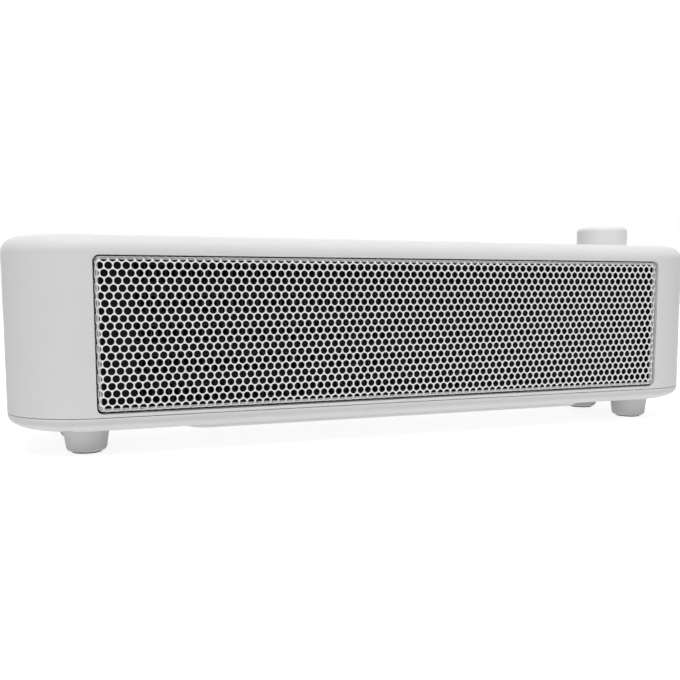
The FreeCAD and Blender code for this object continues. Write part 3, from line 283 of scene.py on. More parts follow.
# %% [markdown]
# ## White mouldings and the painted sheet
# The shell, tray, rear panel, knob and feet are white plastic with the matt grain of a mould.
# The grille is sheet metal under smooth white paint. One white for all would be simplest, but the knob's
# white is a little lighter than the shell's, as painted light for the light it takes from the white top
# round it, the feet's white is darker, as painted shade for the shade under the body, and the paint is
# brightest, so each has its own white.
# The plastics get little shine, because a strong one would lift their tone at every rounded edge.

# %% White finishes
MATT = 0.15

finishes = {}
finishes["white_plastic"] = finish(
    "moulded_white", grey(0.79), roughness=0.55, grain=0.5, depth=0.02, drift=0.012, shine=MATT)
# The knob's lighter white is painted light, from the bright top round it.
finishes["knob_plastic"] = finish(
    "knob_white_painted_light", grey(0.84), roughness=0.5, grain=0.4, depth=0.01, drift=0.012, shine=MATT)
# The feet's darker white is painted shade, for the shade under the body.
finishes["foot_plastic"] = finish(
    "foot_white_painted_shade", grey(0.75), roughness=0.55, grain=0.4, depth=0.01, drift=0.012, shine=MATT)
finishes["grille_metal"] = finish(
    "grille_paint", grey(0.9), roughness=0.4, grain=0.8, depth=0.02, drift=0.02)
print(f"white finishes: {', '.join(finishes)}")

# %% [markdown]
# ## Dark parts behind the grille
# Behind the holes all is dark: a black frame, and fins, tubes and sheet round the fan in near-black tones,
# which are painted shade for the deep, shaded inside of the body.
# Pure black would be easy, but then nothing could be made out through the holes.
# Each dark finish keeps a little tone of its own, and those nearest to the holes have hardly any shine.
# On rolled metal the pattern is stretched along its length.
# The rubber of the pads and the gland is dark too, but rougher, with a coarser grain.

# %% Dark finishes
DULL = 0.1
ALONG = (0.06, 1, 1)

finishes["black_plastic"] = finish(
    "moulded_black", grey(0.012), roughness=0.7, grain=0.6, depth=0.03, drift=0.1, shine=DULL)
finishes["black_screws"] = finish(
    "black_oxide", grey(0.012), roughness=0.7, grain=0.5, depth=0.01, drift=0.12, shine=DULL)
# The fins, tubes and duct sheet get near-black tones as painted shade for the shaded inside.
finishes["heater_aluminium"] = finish(
    "fin_painted_shade", grey(0.05), roughness=0.6, grain=0.8, depth=0.02, drift=0.2,
    stretch=ALONG, shine=DULL)
finishes["tube_coating"] = finish(
    "tube_painted_shade", grey(0.01), roughness=0.7, grain=0.8, depth=0.02, drift=0.2,
    stretch=ALONG, shine=DULL)
finishes["duct_steel"] = finish(
    "duct_painted_shade", grey(0.04), roughness=0.5, grain=0.8, depth=0.02, drift=0.1)
finishes["pad_rubber"] = finish(
    "pad_black", grey(0.05), roughness=0.85, grain=0.6, depth=0.06, drift=0.15)
finishes["gland_rubber"] = finish(
    "gland_black", grey(0.06), roughness=0.8, grain=0.6, depth=0.05, drift=0.15)
print(f"with the dark finishes: {len(finishes)}")

# %% [markdown]
# ## Bare metal
# The fan, the motor's iron, the shafts, the screws and the bearings are left bare on the real heater.
# A grey paint could stand in for them, but metal has no tone of its own: it only tints what it mirrors.
# So the shader is fully metallic. Drawn and rolled metal gets the stretched pattern that the rolls leave.

# %% Metal finishes
BARE = 1.0

finishes["fan_aluminium"] = finish(
    "fan_satin", (0.45, 0.46, 0.47), roughness=0.4, grain=0.5, depth=0.02, drift=0.1,
    metallic=BARE, stretch=ALONG)
finishes["plain_steel"] = finish(
    "bare_steel", (0.55, 0.55, 0.56), roughness=0.35, grain=0.4, depth=0.01, drift=0.1,
    metallic=BARE, stretch=ALONG)
finishes["zinc_screws"] = finish(
    "zinc_plate", (0.66, 0.67, 0.69), roughness=0.3, grain=0.5, depth=0.01, drift=0.12, metallic=BARE)
finishes["bearing_bronze"] = finish(
    "bearing_bronze", (0.66, 0.5, 0.25), roughness=0.35, grain=0.5, depth=0.02, drift=0.15, metallic=BARE)
print(f"with the bare metals: {len(finishes)}")

# %% [markdown]
# ## Small electrical parts, and handing out the finishes
# The coil is wrapped in yellow tape, the terminal block is cream plastic, and the fuse has a glazed sleeve.
# They are hidden when the heater is closed, so a tone and a grain of the right kind are enough.
# Each solid comes with a slot that carries its finish's name, so one loop over the solids dresses them all.

# %% Electrical finishes, and all the solids
TAPE_RUN = (1, 0.08, 1)

finishes["coil_tape"] = finish(
    "coil_tape", (0.62, 0.48, 0.12), roughness=0.45, grain=0.7, depth=0.04, drift=0.1, stretch=TAPE_RUN)
finishes["terminal_plastic"] = finish(
    "terminal_cream", (0.75, 0.75, 0.7), roughness=0.45, grain=0.5, depth=0.02, drift=0.03)
finishes["fuse_ceramic"] = finish(
    "fuse_glaze", (0.85, 0.83, 0.78), roughness=0.2, grain=1, depth=0.01, drift=0.04)
for node in nodes.values():
    slot = node.material_slots[0]
    slot.material = finishes[slot.material.name]
print(f"finishes: {len(finishes)}, on all {len(nodes)} nodes")

# %% [markdown]
# ## Shapes from rings
# The shell, the tray, the knob and the feet are all stacks of closed rings: rounded rectangles or circles.
# A cube with bevels could come close, but one bevel can't give a large round end and a small top edge.
# A side profile says how far each ring is drawn in and how high it lies, so an edge radius is just an arc
# in that profile. A skin through the rings is smooth, closed, and has only the faces that it needs.

# %% Helpers for rings
def new_piece(name, form):
    """A piece from a finished form, at the origin, with its place in its mesh."""
    mesh = bpy.data.meshes.new(name)
    form.to_mesh(mesh)
    form.free()
    piece = bpy.data.objects.new(name, mesh)
    scene.collection.objects.link(piece)
    return piece


def rounded_ring(width, depth, radius, height, steps=24):
    """A rounded rectangle seen from above, as points."""
    ring = []
    for corner, (side_x, side_y) in enumerate([(1, 1), (-1, 1), (-1, -1), (1, -1)]):
        for step in range(steps + 1):
            angle = math.radians(90) * (corner + step / steps)
            x = side_x * (width / 2 - radius) + radius * math.cos(angle)
            y = side_y * (depth / 2 - radius) + radius * math.sin(angle)
            ring.append(Vector((x, y, height)))
    return ring


def round_ring(x, y, radius, height, steps):
    """A circle seen from above, as points."""
    angles = [math.tau * step / steps for step in range(steps)]
    return [
        Vector((x + radius * math.cos(angle), y + radius * math.sin(angle), height)) for angle in angles]


def arc(across, up, radius, start, end, steps=8):
    """Points of an arc in a side profile, with its angles in degrees."""
    angles = [math.radians(start + (end - start) * step / steps) for step in range(steps + 1)]
    return [(across + radius * math.cos(angle), up + radius * math.sin(angle)) for angle in angles]


def lofted(name, rings):
    """A closed skin through a stack of rings, with a flat face at each end."""
    form = bmesh.new()
    loops = [[form.verts.new(point * MM) for point in ring] for ring in rings]
    for lower, upper in zip(loops, loops[1:]):
        for here in range(len(lower)):
            there = (here + 1) % len(lower)
            form.faces.new((lower[here], lower[there], upper[there], upper[here]))
    form.faces.new(loops[0])
    form.faces.new(loops[-1])
    bmesh.ops.recalc_face_normals(form, faces=form.faces)
    return new_piece(name, form)


print(f"rings: {len(rounded_ring(width=2, depth=2, radius=1, height=0))} points round a body's outline")

# %% [markdown]
# ## Cutting, fusing and softening
# A moulding has windows, raised parts and no quite sharp edges, and these helpers give a piece all three.
# Booleans and bevels could stay live as modifiers, but a later step needs the mesh of an earlier one.
# So each modifier is used once and its result becomes the piece's own mesh.
# The last step gives a piece its finish and the body that it moves with, and hides the solid that it stands
# for.

# %% Helpers for working a piece
SMOOTH_ANGLE = 40
SHARP_ANGLE = 50


def settle(piece):
    """Make what the modifiers show the piece's own mesh."""
    graph = bpy.context.evaluated_depsgraph_get()
    mesh = bpy.data.meshes.new_from_object(piece.evaluated_get(graph))
    piece.modifiers.clear()
    piece.data = mesh


def work(piece, tools, operation):
    """Cut other pieces out of a piece or fuse them to it, and remove them."""
    for tool in tools:
        boolean = piece.modifiers.new("work", "BOOLEAN")
        boolean.operation = operation
        boolean.object = tool
        boolean.solver = "EXACT"
        settle(piece)
        bpy.data.objects.remove(tool)


def cut_away(piece, *tools):
    """Cut tools out of a piece."""
    work(piece, tools, "DIFFERENCE")


def fuse_on(piece, *tools):
    """Fuse other pieces to a piece."""
    work(piece, tools, "UNION")


def smooth(piece):
    """Shade the mesh smooth, but not across edges that are sharper than an angle."""
    piece.data.shade_smooth()
    piece.data.set_sharp_from_angle(angle=math.radians(SMOOTH_ANGLE))


def shade(piece):
    """Smooth shading, with large flat faces kept flat."""
    smooth(piece)
    weigh = piece.modifiers.new("flats", "WEIGHTED_NORMAL")
    weigh.keep_sharp = True
    settle(piece)


def soften(piece, width):
    """Round the sharp edges a little, then shade the round parts smooth and the flats flat."""
    bevel = piece.modifiers.new("edges", "BEVEL")
    bevel.width = width * MM
    bevel.segments = 2
    bevel.limit_method = "ANGLE"
    bevel.angle_limit = math.radians(SHARP_ANGLE)
    bevel.use_clamp_overlap = True
    settle(piece)
    shade(piece)


def dress(piece, slot, body, *replaced):
    """Give a piece its finish and its place in the frame."""
    piece.data.materials.clear()
    piece.data.materials.append(finishes[slot])
    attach(piece, body)
    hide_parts(*replaced)
    faces = len(piece.data.polygons)
    print(f"{piece.name}: {faces} faces, for {', '.join(replaced)}")


print(f"edges: softened where they turn by more than {SHARP_ANGLE} degrees")

# %% [markdown]
# ## The upper shell
# The shell is one thin moulding, open below, with round ends and a soft edge round its top.
# A solid block with a thickness modifier could make it, but the wall would bunch up in the top edge.
# Its rings run down the inner wall, round the rim and up the outer wall instead, so both skins are exact.

# %% Upper shell
CORNER_RADIUS = 39.5
SHELL_WALL = 2.5
TOP_EDGE = 7.8
RIM_EDGE = 0.2

shell_low, shell_high = node_box("upper_shell")
shell_rim = shell_low.z
shell_top = shell_high.z
body_width, body_depth, _ = shell_high - shell_low


def plan(inset, height):
    """The body's outline at one height, drawn in by an inset."""
    return rounded_ring(
        body_width - 2 * inset, body_depth - 2 * inset, CORNER_RADIUS - inset, height)


edge_centre = shell_top - TOP_EDGE
profile = arc(TOP_EDGE, edge_centre, TOP_EDGE - SHELL_WALL, 90, 180)
profile += arc(SHELL_WALL - RIM_EDGE, shell_rim + RIM_EDGE, RIM_EDGE, 0, -90, steps=3)
profile += arc(RIM_EDGE, shell_rim + RIM_EDGE, RIM_EDGE, -90, -180, steps=3)
profile += arc(TOP_EDGE, edge_centre, TOP_EDGE, 180, 90, steps=12)
shell = lofted("shell", [plan(inset, height) for inset, height in profile])
print(f"shell: {body_width:.0f} x {body_depth:.0f} mm, top at {shell_top:.1f} mm")

# %% [markdown]
# ## Windows and holes of the shell
# The front window takes the grille with a narrow gap, and the rear one is overlapped by the slotted panel.
# Two round holes let the knob's switch and the cord's gland through.
# Faces could be left out of the skin, but rounded windows don't follow its rows of faces. Blocks and pegs
# cut them after the skin is closed, and the new edges get the small radius that a mould leaves.

# %% Windows and holes
WINDOW_EDGE = 0.3
OPENING_GAP = 0.8
OPENING_CORNER = 3.2
INTAKE_CORNER = 5
INTAKE_OVERLAP = 2
BUSH_RADIUS = 4.55
GLAND_RADIUS = 6
WINDOW_STEPS = 8
PEG_STEPS = 32
UPWARD = (0, 0, 1)
REARWARD = (0, 1, 0)

grille_low, grille_high = node_box("front_grille")
intake_low, intake_high = node_box("rear_intake_panel")
gland_low, gland_high = node_box("cord_gland")
knob_low, knob_high = node_box("knob")
opening_middle = (intake_low.z + intake_high.z) / 2
gland_middle = (gland_low + gland_high) / 2
knob_middle = (knob_low + knob_high) / 2
through_wall = 2 * SHELL_WALL


def window_block(width, height, corner, front, rear):
    """A rounded block that runs from front to rear, to cut a window with."""
    ring = rounded_ring(width, height, corner, 0, WINDOW_STEPS)
    ends = [[Vector((point.x, y, opening_middle + point.y)) for point in ring] for y in (front, rear)]
    return lofted("window_block", ends)


def peg(x, y, z, radius, length, along):
    """A round peg, to cut a hole with."""
    turn = Vector(UPWARD).rotation_difference(Vector(along)).to_matrix()
    ends = [[turn @ point + Vector((x, y, z)) for point in round_ring(0, 0, radius, level, PEG_STEPS)]
            for level in (0, length)]
    return lofted("peg", ends)


front_window = window_block(
    grille_high.x - grille_low.x + 2 * OPENING_GAP, grille_high.z - grille_low.z + 2 * OPENING_GAP,
    OPENING_CORNER, -body_depth, -body_depth / 2 + through_wall)
rear_window = window_block(
    intake_high.x - intake_low.x - 2 * INTAKE_OVERLAP, intake_high.z - intake_low.z - 2 * INTAKE_OVERLAP,
    INTAKE_CORNER, body_depth / 2 - through_wall, body_depth)
bush_hole = peg(
    knob_middle.x, knob_middle.y, shell_top - through_wall, BUSH_RADIUS, 2 * through_wall, UPWARD)
gland_hole = peg(
    gland_middle.x, body_depth / 2 - through_wall, gland_middle.z, GLAND_RADIUS, 2 * through_wall, REARWARD)
cut_away(shell, front_window, rear_window, bush_hole, gland_hole)
soften(shell, WINDOW_EDGE)
dress(shell, "white_plastic", "housing", "upper_shell")

# %% [markdown]
# ## The base tray
# The tray closes the body from below. Its outside slopes in under a round edge, and a thin tongue
# on its rim stands inside the shell, so that no light gets through the seam.
# It could be a block with a bevel, but its edge has two rounds of different radius, with a slope between.
# The rings start on the inner floor, climb over the tongue and the rim, and run down to the flat bottom.

# %% Base tray
SEAM_GAP = 0.3
TRAY_WALL = 4.7
TRAY_FLOOR = 2.1
TONGUE_OUTSIDE = 2.7
TONGUE_HEIGHT = 2
TRAY_SLOPE_INSET = 6.1
TRAY_SLOPE_RISE = 4
TRAY_SIDE_RADIUS = 5
TRAY_UNDER_RADIUS = 14
SOLE_THICKNESS = 1.4

sole_bottom = node_box("base_tray")[0].z
tray_bottom = sole_bottom + SOLE_THICKNESS
tray_rim = shell_rim - SEAM_GAP
tongue_top = tray_rim + TONGUE_HEIGHT
slope = math.degrees(math.atan2(TRAY_SLOPE_RISE, TRAY_SLOPE_INSET))
side_start = TRAY_SLOPE_RISE + TRAY_SIDE_RADIUS * math.tan(math.radians((90 - slope) / 2))
under_end = TRAY_SLOPE_INSET + TRAY_UNDER_RADIUS * math.tan(math.radians(slope / 2))
profile = [(TRAY_WALL, tray_bottom + TRAY_FLOOR), (TRAY_WALL, tongue_top)]
profile += [(TONGUE_OUTSIDE, tongue_top), (TONGUE_OUTSIDE, tray_rim)]
profile += arc(RIM_EDGE, tray_rim - RIM_EDGE, RIM_EDGE, 90, 180, steps=3)
profile += arc(TRAY_SIDE_RADIUS, tray_bottom + side_start, TRAY_SIDE_RADIUS, 180, 270 - slope, steps=10)
profile += arc(under_end, tray_bottom + TRAY_UNDER_RADIUS, TRAY_UNDER_RADIUS, 270 - slope, 270)
tray = lofted("tray", [plan(inset, height) for inset, height in profile])
print(f"tray: bottom at {tray_bottom:.1f} mm, seam at {tray_rim:.1f} mm, slope of {slope:.0f} degrees")

# %% [markdown]
# ## The sole and the screw recesses
# A shallow flat sole stands out under the middle, and four recesses near the corners hide the screw heads.
# More rings could carry the sole, but it is deeper than the tray's flat bottom and reaches into the round
# edge, where rings would cross. A bevelled block is fused on instead, and pegs cut the recesses.

# %% Sole and recesses
SOLE_WIDTH = 232
SOLE_DEPTH = 84
SOLE_CORNER = 12
SOLE_BEVEL = 1
SOLE_ROOT = 1
SCREW_HEAD_RADIUS = 3.2
RECESS_RADIUS = 3.4
RECESS_DEPTH = 4


def sole_ring(bevel, height):
    """The sole's outline at one height, drawn in by a bevel."""
    return rounded_ring(SOLE_WIDTH - 2 * bevel, SOLE_DEPTH - 2 * bevel, SOLE_CORNER - bevel, height)


sole_levels = [(0, tray_bottom + SOLE_ROOT), (0, sole_bottom + SOLE_BEVEL), (SOLE_BEVEL, sole_bottom)]
fuse_on(tray, lofted("sole", [sole_ring(bevel, height) for bevel, height in sole_levels]))
screw_low, screw_high = node_box("base_screws")
screw_x = screw_high.x - SCREW_HEAD_RADIUS
screw_y = screw_high.y - SCREW_HEAD_RADIUS
corners = [(x, y) for x in (-screw_x, screw_x) for y in (-screw_y, screw_y)]
recess_foot = tray_bottom - RECESS_DEPTH
cut_away(tray, *[peg(x, y, recess_foot, RECESS_RADIUS, 2 * RECESS_DEPTH, UPWARD) for x, y in corners])
soften(tray, WINDOW_EDGE)
dress(tray, "white_plastic", "housing", "base_tray")

# %% [markdown]
# ## The knob
# The knob is a turned cap with a soft top edge, hollow below, where it sits on the shaft of its switch.
# A cylinder with a bevel would look alike from above, but it has no hollow, and one can see under the knob.
# Its outline is drawn from the hollow, round the lower edge and up to the top, and turned with rings.
# A small groove in the top shows which way it points, so that its turning can be seen.

# %% Knob
KNOB_WALL = 2.4
KNOB_TOP_EDGE = 2.8
KNOB_LOW_EDGE = 0.4
KNOB_STEPS = 128
MARK_WIDTH = 1.8
MARK_LENGTH = 8
MARK_DEPTH = 0.6
MARK_EDGE = 0.15
MARK_STEPS = 6

knob_radius = (knob_high.x - knob_low.x) / 2


def turned(name, middle, outline, steps):
    """A closed turned shape from an outline of (radius, height) points."""
    rings = [round_ring(middle.x, middle.y, radius, height, steps) for radius, height in outline]
    return lofted(name, rings)


def mark_block():
    """A small rounded block, to cut the pointer groove with."""
    ring = rounded_ring(MARK_WIDTH, MARK_LENGTH, MARK_WIDTH / 3, 0, MARK_STEPS)
    middle_y = knob_middle.y - knob_radius + 2 * KNOB_TOP_EDGE + MARK_LENGTH / 2
    levels = (knob_high.z - MARK_DEPTH, knob_high.z + MARK_DEPTH)
    places = [Vector((knob_middle.x, middle_y, level)) for level in levels]
    return lofted("mark", [[point + place for point in ring] for place in places])


outline = [(knob_radius - KNOB_WALL, knob_high.z - KNOB_WALL), (knob_radius - KNOB_WALL, knob_low.z)]
outline += arc(knob_radius - KNOB_LOW_EDGE, knob_low.z + KNOB_LOW_EDGE, KNOB_LOW_EDGE, -90, 0, steps=4)
outline += arc(knob_radius - KNOB_TOP_EDGE, knob_high.z - KNOB_TOP_EDGE, KNOB_TOP_EDGE, 0, 90, steps=10)
knob = turned("knob_form", knob_middle, outline, KNOB_STEPS)
cut_away(knob, mark_block())
soften(knob, MARK_EDGE)
dress(knob, "knob_plastic", "knob", "knob")

# %% [markdown]
# ## The feet
# Four short feet taper towards the floor, flare a little at the tray, and hold a dark pad below.
# A cone would give the taper alone. A turned outline adds the round lower edge, the flare and the pad's
# recess in one closed skin, and a loop makes the same foot at each corner, as one mould does.

# %% Feet
FOOT_BOTTOM_RADIUS = 9.8
FOOT_EDGE = 2.6
FOOT_FLARE = 0.5
FOOT_COLLAR = 1.5
FOOT_STEPS = 96
PAD_HOLE_RADIUS = 7.1
PAD_HOLE_ROOF = 1.4

for corner in ("front_left", "front_right", "rear_left", "rear_right"):
    foot_low, foot_high = node_box(f"foot_{corner}")
    top_radius = (foot_high.x - foot_low.x) / 2
    outline = [(PAD_HOLE_RADIUS, PAD_HOLE_ROOF), (PAD_HOLE_RADIUS, foot_low.z)]
    outline += arc(FOOT_BOTTOM_RADIUS - FOOT_EDGE, foot_low.z + FOOT_EDGE, FOOT_EDGE, -90, 0)
    outline += arc(top_radius, foot_high.z - FOOT_COLLAR, FOOT_FLARE, 180, 90, steps=6)
    outline += [(top_radius, foot_high.z)]
    foot = turned(f"foot_form_{corner}", (foot_low + foot_high) / 2, outline, FOOT_STEPS)
    shade(foot)
    dress(foot, "foot_plastic", "housing", f"foot_{corner}")

# %% [markdown]
# ## Growing what repeats
# Holes, slots and screws repeat by a rule, so they are grown by Geometry Nodes and not modelled one by one.
# Such a tree can be drawn by hand in the node editor. Here a small class writes it down: each method
# adds a node, and what comes back is an output that feeds the next one, so a tree reads like a recipe.
# Each tree has a named input for every size, makes its copies real, and sets the finish at its end.

# %% Helpers for node trees
class Tree:
    """A node tree that grows a piece, with a named input for each size."""

    def __init__(self, name, sizes):
        self.group = bpy.data.node_groups.new(name, "GeometryNodeTree")
        sockets = self.group.interface
        for size in sizes:
            sockets.new_socket(size, in_out="INPUT", socket_type="NodeSocketFloat")
        sockets.new_socket("Material", in_out="INPUT", socket_type="NodeSocketMaterial")
        sockets.new_socket("Geometry", in_out="OUTPUT", socket_type="NodeSocketGeometry")
        self.size = self.group.nodes.new("NodeGroupInput").outputs

    def feed(self, socket, value):
        """Set an input to a value, or wire it to another node's output."""
        if isinstance(value, bpy.types.NodeSocket):
            self.group.links.new(value, socket)
        else:
            socket.default_value = value

    def add(self, kind, settings=None, **wires):
        """A node with its settings and inputs, which gives back its first output."""
        node = self.group.nodes.new(kind)
        for name, value in (settings or {}).items():
            setattr(node, name, value)
        for name, value in wires.items():
            self.feed(node.inputs[name.replace("_", " ")], value)
        return node.outputs[0]

    def compute(self, kind, operation, values):
        """A node that works something out, with the sockets that its operation uses."""
        node = self.group.nodes.new(kind)
        node.operation = operation
        inputs = [socket for socket in node.inputs if socket.enabled]
        for socket, value in zip(inputs, values):
            self.feed(socket, value)
        return next(socket for socket in node.outputs if socket.enabled)

    def number(self, operation, *values):
        """A sum or function of numbers."""
        return self.compute("ShaderNodeMath", operation, values)

    def vector(self, operation, *values):
        """A sum or function of vectors."""
        return self.compute("ShaderNodeVectorMath", operation, values)

    def point(self, x, y, z):
        """A vector from its three numbers."""
        return self.add("ShaderNodeCombineXYZ", X=x, Y=y, Z=z)

    def join(self, *parts):
        """Several geometries as one."""
        node = self.group.nodes.new("GeometryNodeJoinGeometry")
        for part in parts:
            self.group.links.new(part, node.inputs[0])
        return node.outputs[0]

    def close(self, geometry):
        """End the tree: instances become real, and the finish is set."""
        real = self.add("GeometryNodeRealizeInstances", Geometry=geometry)
        dressed = self.add("GeometryNodeSetMaterial", Geometry=real, Material=self.size["Material"])
        self.group.links.new(dressed, self.group.nodes.new("NodeGroupOutput").inputs[0])
        return self.group


methods = [name for name in vars(Tree) if not name.startswith("_")]
print(f"methods of a tree: {', '.join(methods)}")

# %% [markdown]
# ## From a tree to a mesh
# A tree is only a recipe: it becomes a shape when a modifier runs it on some object.
# The modifier could stay on the piece, but a part that is handed on should be plain faces and corners.
# So an empty piece gets the tree, its inputs are set by their identifiers, and the result becomes its mesh.

# %% Helper to grow a piece
def grown(name, group, sizes, material):
    """A piece grown by a tree from sizes in millimetres, as a plain mesh."""
    piece = new_piece(name, bmesh.new())
    modifier = piece.modifiers.new("tree", "NODES")
    modifier.node_group = group
    for socket in group.interface.items_tree:
        if socket.name in sizes:
            modifier[socket.identifier] = sizes[socket.name] * MM
        elif socket.in_out == "INPUT":
            modifier[socket.identifier] = material
    settle(piece)
    print(f"{name}: grown to {len(piece.data.polygons)} faces")
    return piece


# %% [markdown]
# ## The grille: where the holes are
# The grille is a sheet of metal, punched with round holes in staggered rows and folded back at its edges.
# A see-through texture would show holes but leave the mesh whole, and a thousand Boolean cuts are slow.
# So the flat blank is laid out in six-sided cells, one to a hole, which fill it without gaps.
# This first part numbers the cells' middles by row and column, and drops those past the edge of the blank.

# %% Places of the holes
ROWS = 31
COLUMNS = 92
ROW_ANGLE = 60


def past_flat(tree):
    """For each place on the blank: what stays flat, what lies past that, and how far past it lies."""
    half_width = tree.number("MULTIPLY", tree.size["Flat Width"], 0.5)
    half_height = tree.number("MULTIPLY", tree.size["Flat Height"], 0.5)
    away = tree.vector("ABSOLUTE", tree.add("GeometryNodeInputPosition"))
    kept = tree.vector("MINIMUM", away, tree.point(half_width, half_height, 0.0))
    over = tree.vector("SUBTRACT", away, kept)
    return kept, over, tree.vector("LENGTH", over)


def staggered_points(tree, distance):
    """The cells' middles, with every second row moved by half a pitch."""
    index = tree.add("GeometryNodeInputIndex")
    row = tree.number("SUBTRACT", tree.number("FLOOR", tree.number("DIVIDE", index, COLUMNS)), ROWS // 2)
    column = tree.number("SUBTRACT", tree.number("MODULO", index, COLUMNS), COLUMNS // 2)
    stagger = tree.number("MULTIPLY", tree.number("FLOORED_MODULO", row, 2.0), 0.5)
    steps = tree.number("ADD", column, stagger)
    across = tree.number("MULTIPLY_ADD", steps, tree.size["Pitch"], tree.size["Shift Across"])
    row_step = tree.number("MULTIPLY", tree.size["Pitch"], math.sin(math.radians(ROW_ANGLE)))
    up = tree.number("MULTIPLY_ADD", row, row_step, tree.size["Shift Up"])
    points = tree.add("GeometryNodePoints", Count=ROWS * COLUMNS, Position=tree.point(across, up, 0.0))
    off_sheet = tree.number("GREATER_THAN", distance, tree.size["Flange"])
    return tree.add(
        "GeometryNodeDeleteGeometry", {"domain": "POINT"}, Geometry=points, Selection=off_sheet)


print(f"lattice: {ROWS} rows of {COLUMNS} cells, before the edge is trimmed")

# %% [markdown]
# ## The grille: cells of the flat sheet
# Between the holes the sheet is a net of thin webs, and its outermost strip, folded furthest, is plain.
# One large outline with all the holes could be filled at once, but that leaves long thin triangles.
# A cell is filled between its six-sided border and its hole, or without a hole on the plain strip.
# Copies of both kinds are set on the points, and merging the corners that meet makes one sheet of them.

# %% Cells of the sheet
CELL_SIDES = 6
CELL_TURN = 30
HOLE_SIDES = 18
MERGE_DISTANCE = 0.02


def curve_ring(tree, sides, radius):
    """A ring of straight sides, as a curve."""
    return tree.add(
        "GeometryNodeCurvePrimitiveCircle", {"mode": "RADIUS"}, Resolution=sides, Radius=radius)


def cells_on(tree, points, chosen, *outlines):
    """A flat cell, filled between its outlines, on each chosen point."""
    cell = tree.add("GeometryNodeFillCurve", {"mode": "TRIANGLES"}, Curve=tree.join(*outlines))
    return tree.add("GeometryNodeInstanceOnPoints", Points=points, Instance=cell, Selection=chosen)


def flat_sheet(tree, points, is_plain):
    """All the cells side by side, merged to one sheet."""
    cell_radius = tree.number("DIVIDE", tree.size["Pitch"], math.sqrt(3))
    six_sides = curve_ring(tree, CELL_SIDES, cell_radius)
    border = tree.add("GeometryNodeTransform", Geometry=six_sides, Rotation=(0, 0, math.radians(CELL_TURN)))
    hole = curve_ring(tree, HOLE_SIDES, tree.size["Hole Radius"])
    is_punched = tree.number("SUBTRACT", 1.0, is_plain)
    plain = cells_on(tree, points, is_plain, border)
    punched = cells_on(tree, points, is_punched, border, hole)
    real = tree.add("GeometryNodeRealizeInstances", Geometry=tree.join(plain, punched))
    return tree.add("GeometryNodeMergeByDistance", Geometry=real, Distance=MERGE_DISTANCE * MM)


print(f"cells: {CELL_SIDES} sides, round a hole of {HOLE_SIDES} sides")

# %% [markdown]
# ## The grille: the folded edge
# The real sheet is bent over a tool, so its holes run round the bend and stretch with it.
# A bevel can't take holes along, so the fold is worked out point by point. What lies past the flat part is
# laid round an arc up to a quarter turn, and what is left after that runs straight back.
# The jagged border of the cells is first drawn out to one straight line.

# %% Fold of the sheet
# An edge at the border belongs to one face and any other edge to two, so the test lies between them.
BORDER_FACES = 1.5
QUARTER_TURN = math.pi / 2


def folded_sheet(tree, sheet, flat_parts, is_plain):
    """The flat sheet with its border drawn straight and its edges folded back."""
    kept, over, distance = flat_parts
    bend_radius = tree.size["Bend Radius"]
    neighbours = tree.add("GeometryNodeInputMeshEdgeNeighbors")
    on_border = tree.number("MULTIPLY", tree.number("LESS_THAN", neighbours, BORDER_FACES), is_plain)
    to_border = tree.number("SUBTRACT", tree.size["Flange"], distance)
    straight = tree.number("MULTIPLY_ADD", on_border, to_border, distance)
    turn = tree.number("MINIMUM", tree.number("DIVIDE", straight, bend_radius), QUARTER_TURN)
    reach = tree.number("MULTIPLY", tree.number("SINE", turn), bend_radius)
    drop = tree.number("MULTIPLY", tree.number("SUBTRACT", 1.0, tree.number("COSINE", turn)), bend_radius)
    bend_length = tree.number("MULTIPLY", bend_radius, QUARTER_TURN)
    wall = tree.number("MAXIMUM", tree.number("SUBTRACT", straight, bend_length), 0.0)
    outward = tree.vector("MULTIPLY", tree.vector("NORMALIZE", over), tree.point(reach, reach, 0.0))
    side = tree.vector("SIGN", tree.add("GeometryNodeInputPosition"))
    folded = tree.vector("MULTIPLY", side, tree.vector("ADD", kept, outward))
    part = tree.add("ShaderNodeSeparateXYZ", Vector=folded).node.outputs
    deep = tree.number("ADD", tree.size["Front"], tree.number("ADD", drop, wall))
    place = tree.point(part["X"], deep, tree.number("ADD", tree.size["Middle"], part["Y"]))
    return tree.add("GeometryNodeSetPosition", Geometry=sheet, Position=place)


print(f"fold: {math.degrees(QUARTER_TURN):.0f} degrees back")

# %% [markdown]
# ## The grille: one piece
# The three parts make one tree for the whole sheet, from its holes to the folded edge in the window.
# Its outer sizes could be typed in, but they are read from the box of the grille's solid, so it fits.
# The tree could grow both skins of the sheet as well, but a Solidify modifier gives the webs their
# thickness and closes every hole's wall in one step.

# %% Front grille
HOLE_PITCH = 4
HOLE_RADIUS = 1.75
HOLE_SHIFT = (1.16, 0.4)
BEND_RADIUS = 2.4
PUNCHED_MARGIN = 5.4
SHEET_THICKNESS = 0.5


def punched_sheet_tree():
    """The whole grille as a thin sheet."""
    tree = Tree("punched_sheet", [
        "Pitch", "Hole Radius", "Shift Across", "Shift Up", "Flat Width", "Flat Height", "Bend Radius",
        "Flange", "Punched Margin", "Front", "Middle"])
    flat_parts = past_flat(tree)
    distance = flat_parts[-1]
    is_plain = tree.number("GREATER_THAN", distance, tree.size["Punched Margin"])
    sheet = flat_sheet(tree, staggered_points(tree, distance), is_plain)
    return tree.close(folded_sheet(tree, sheet, flat_parts, is_plain))


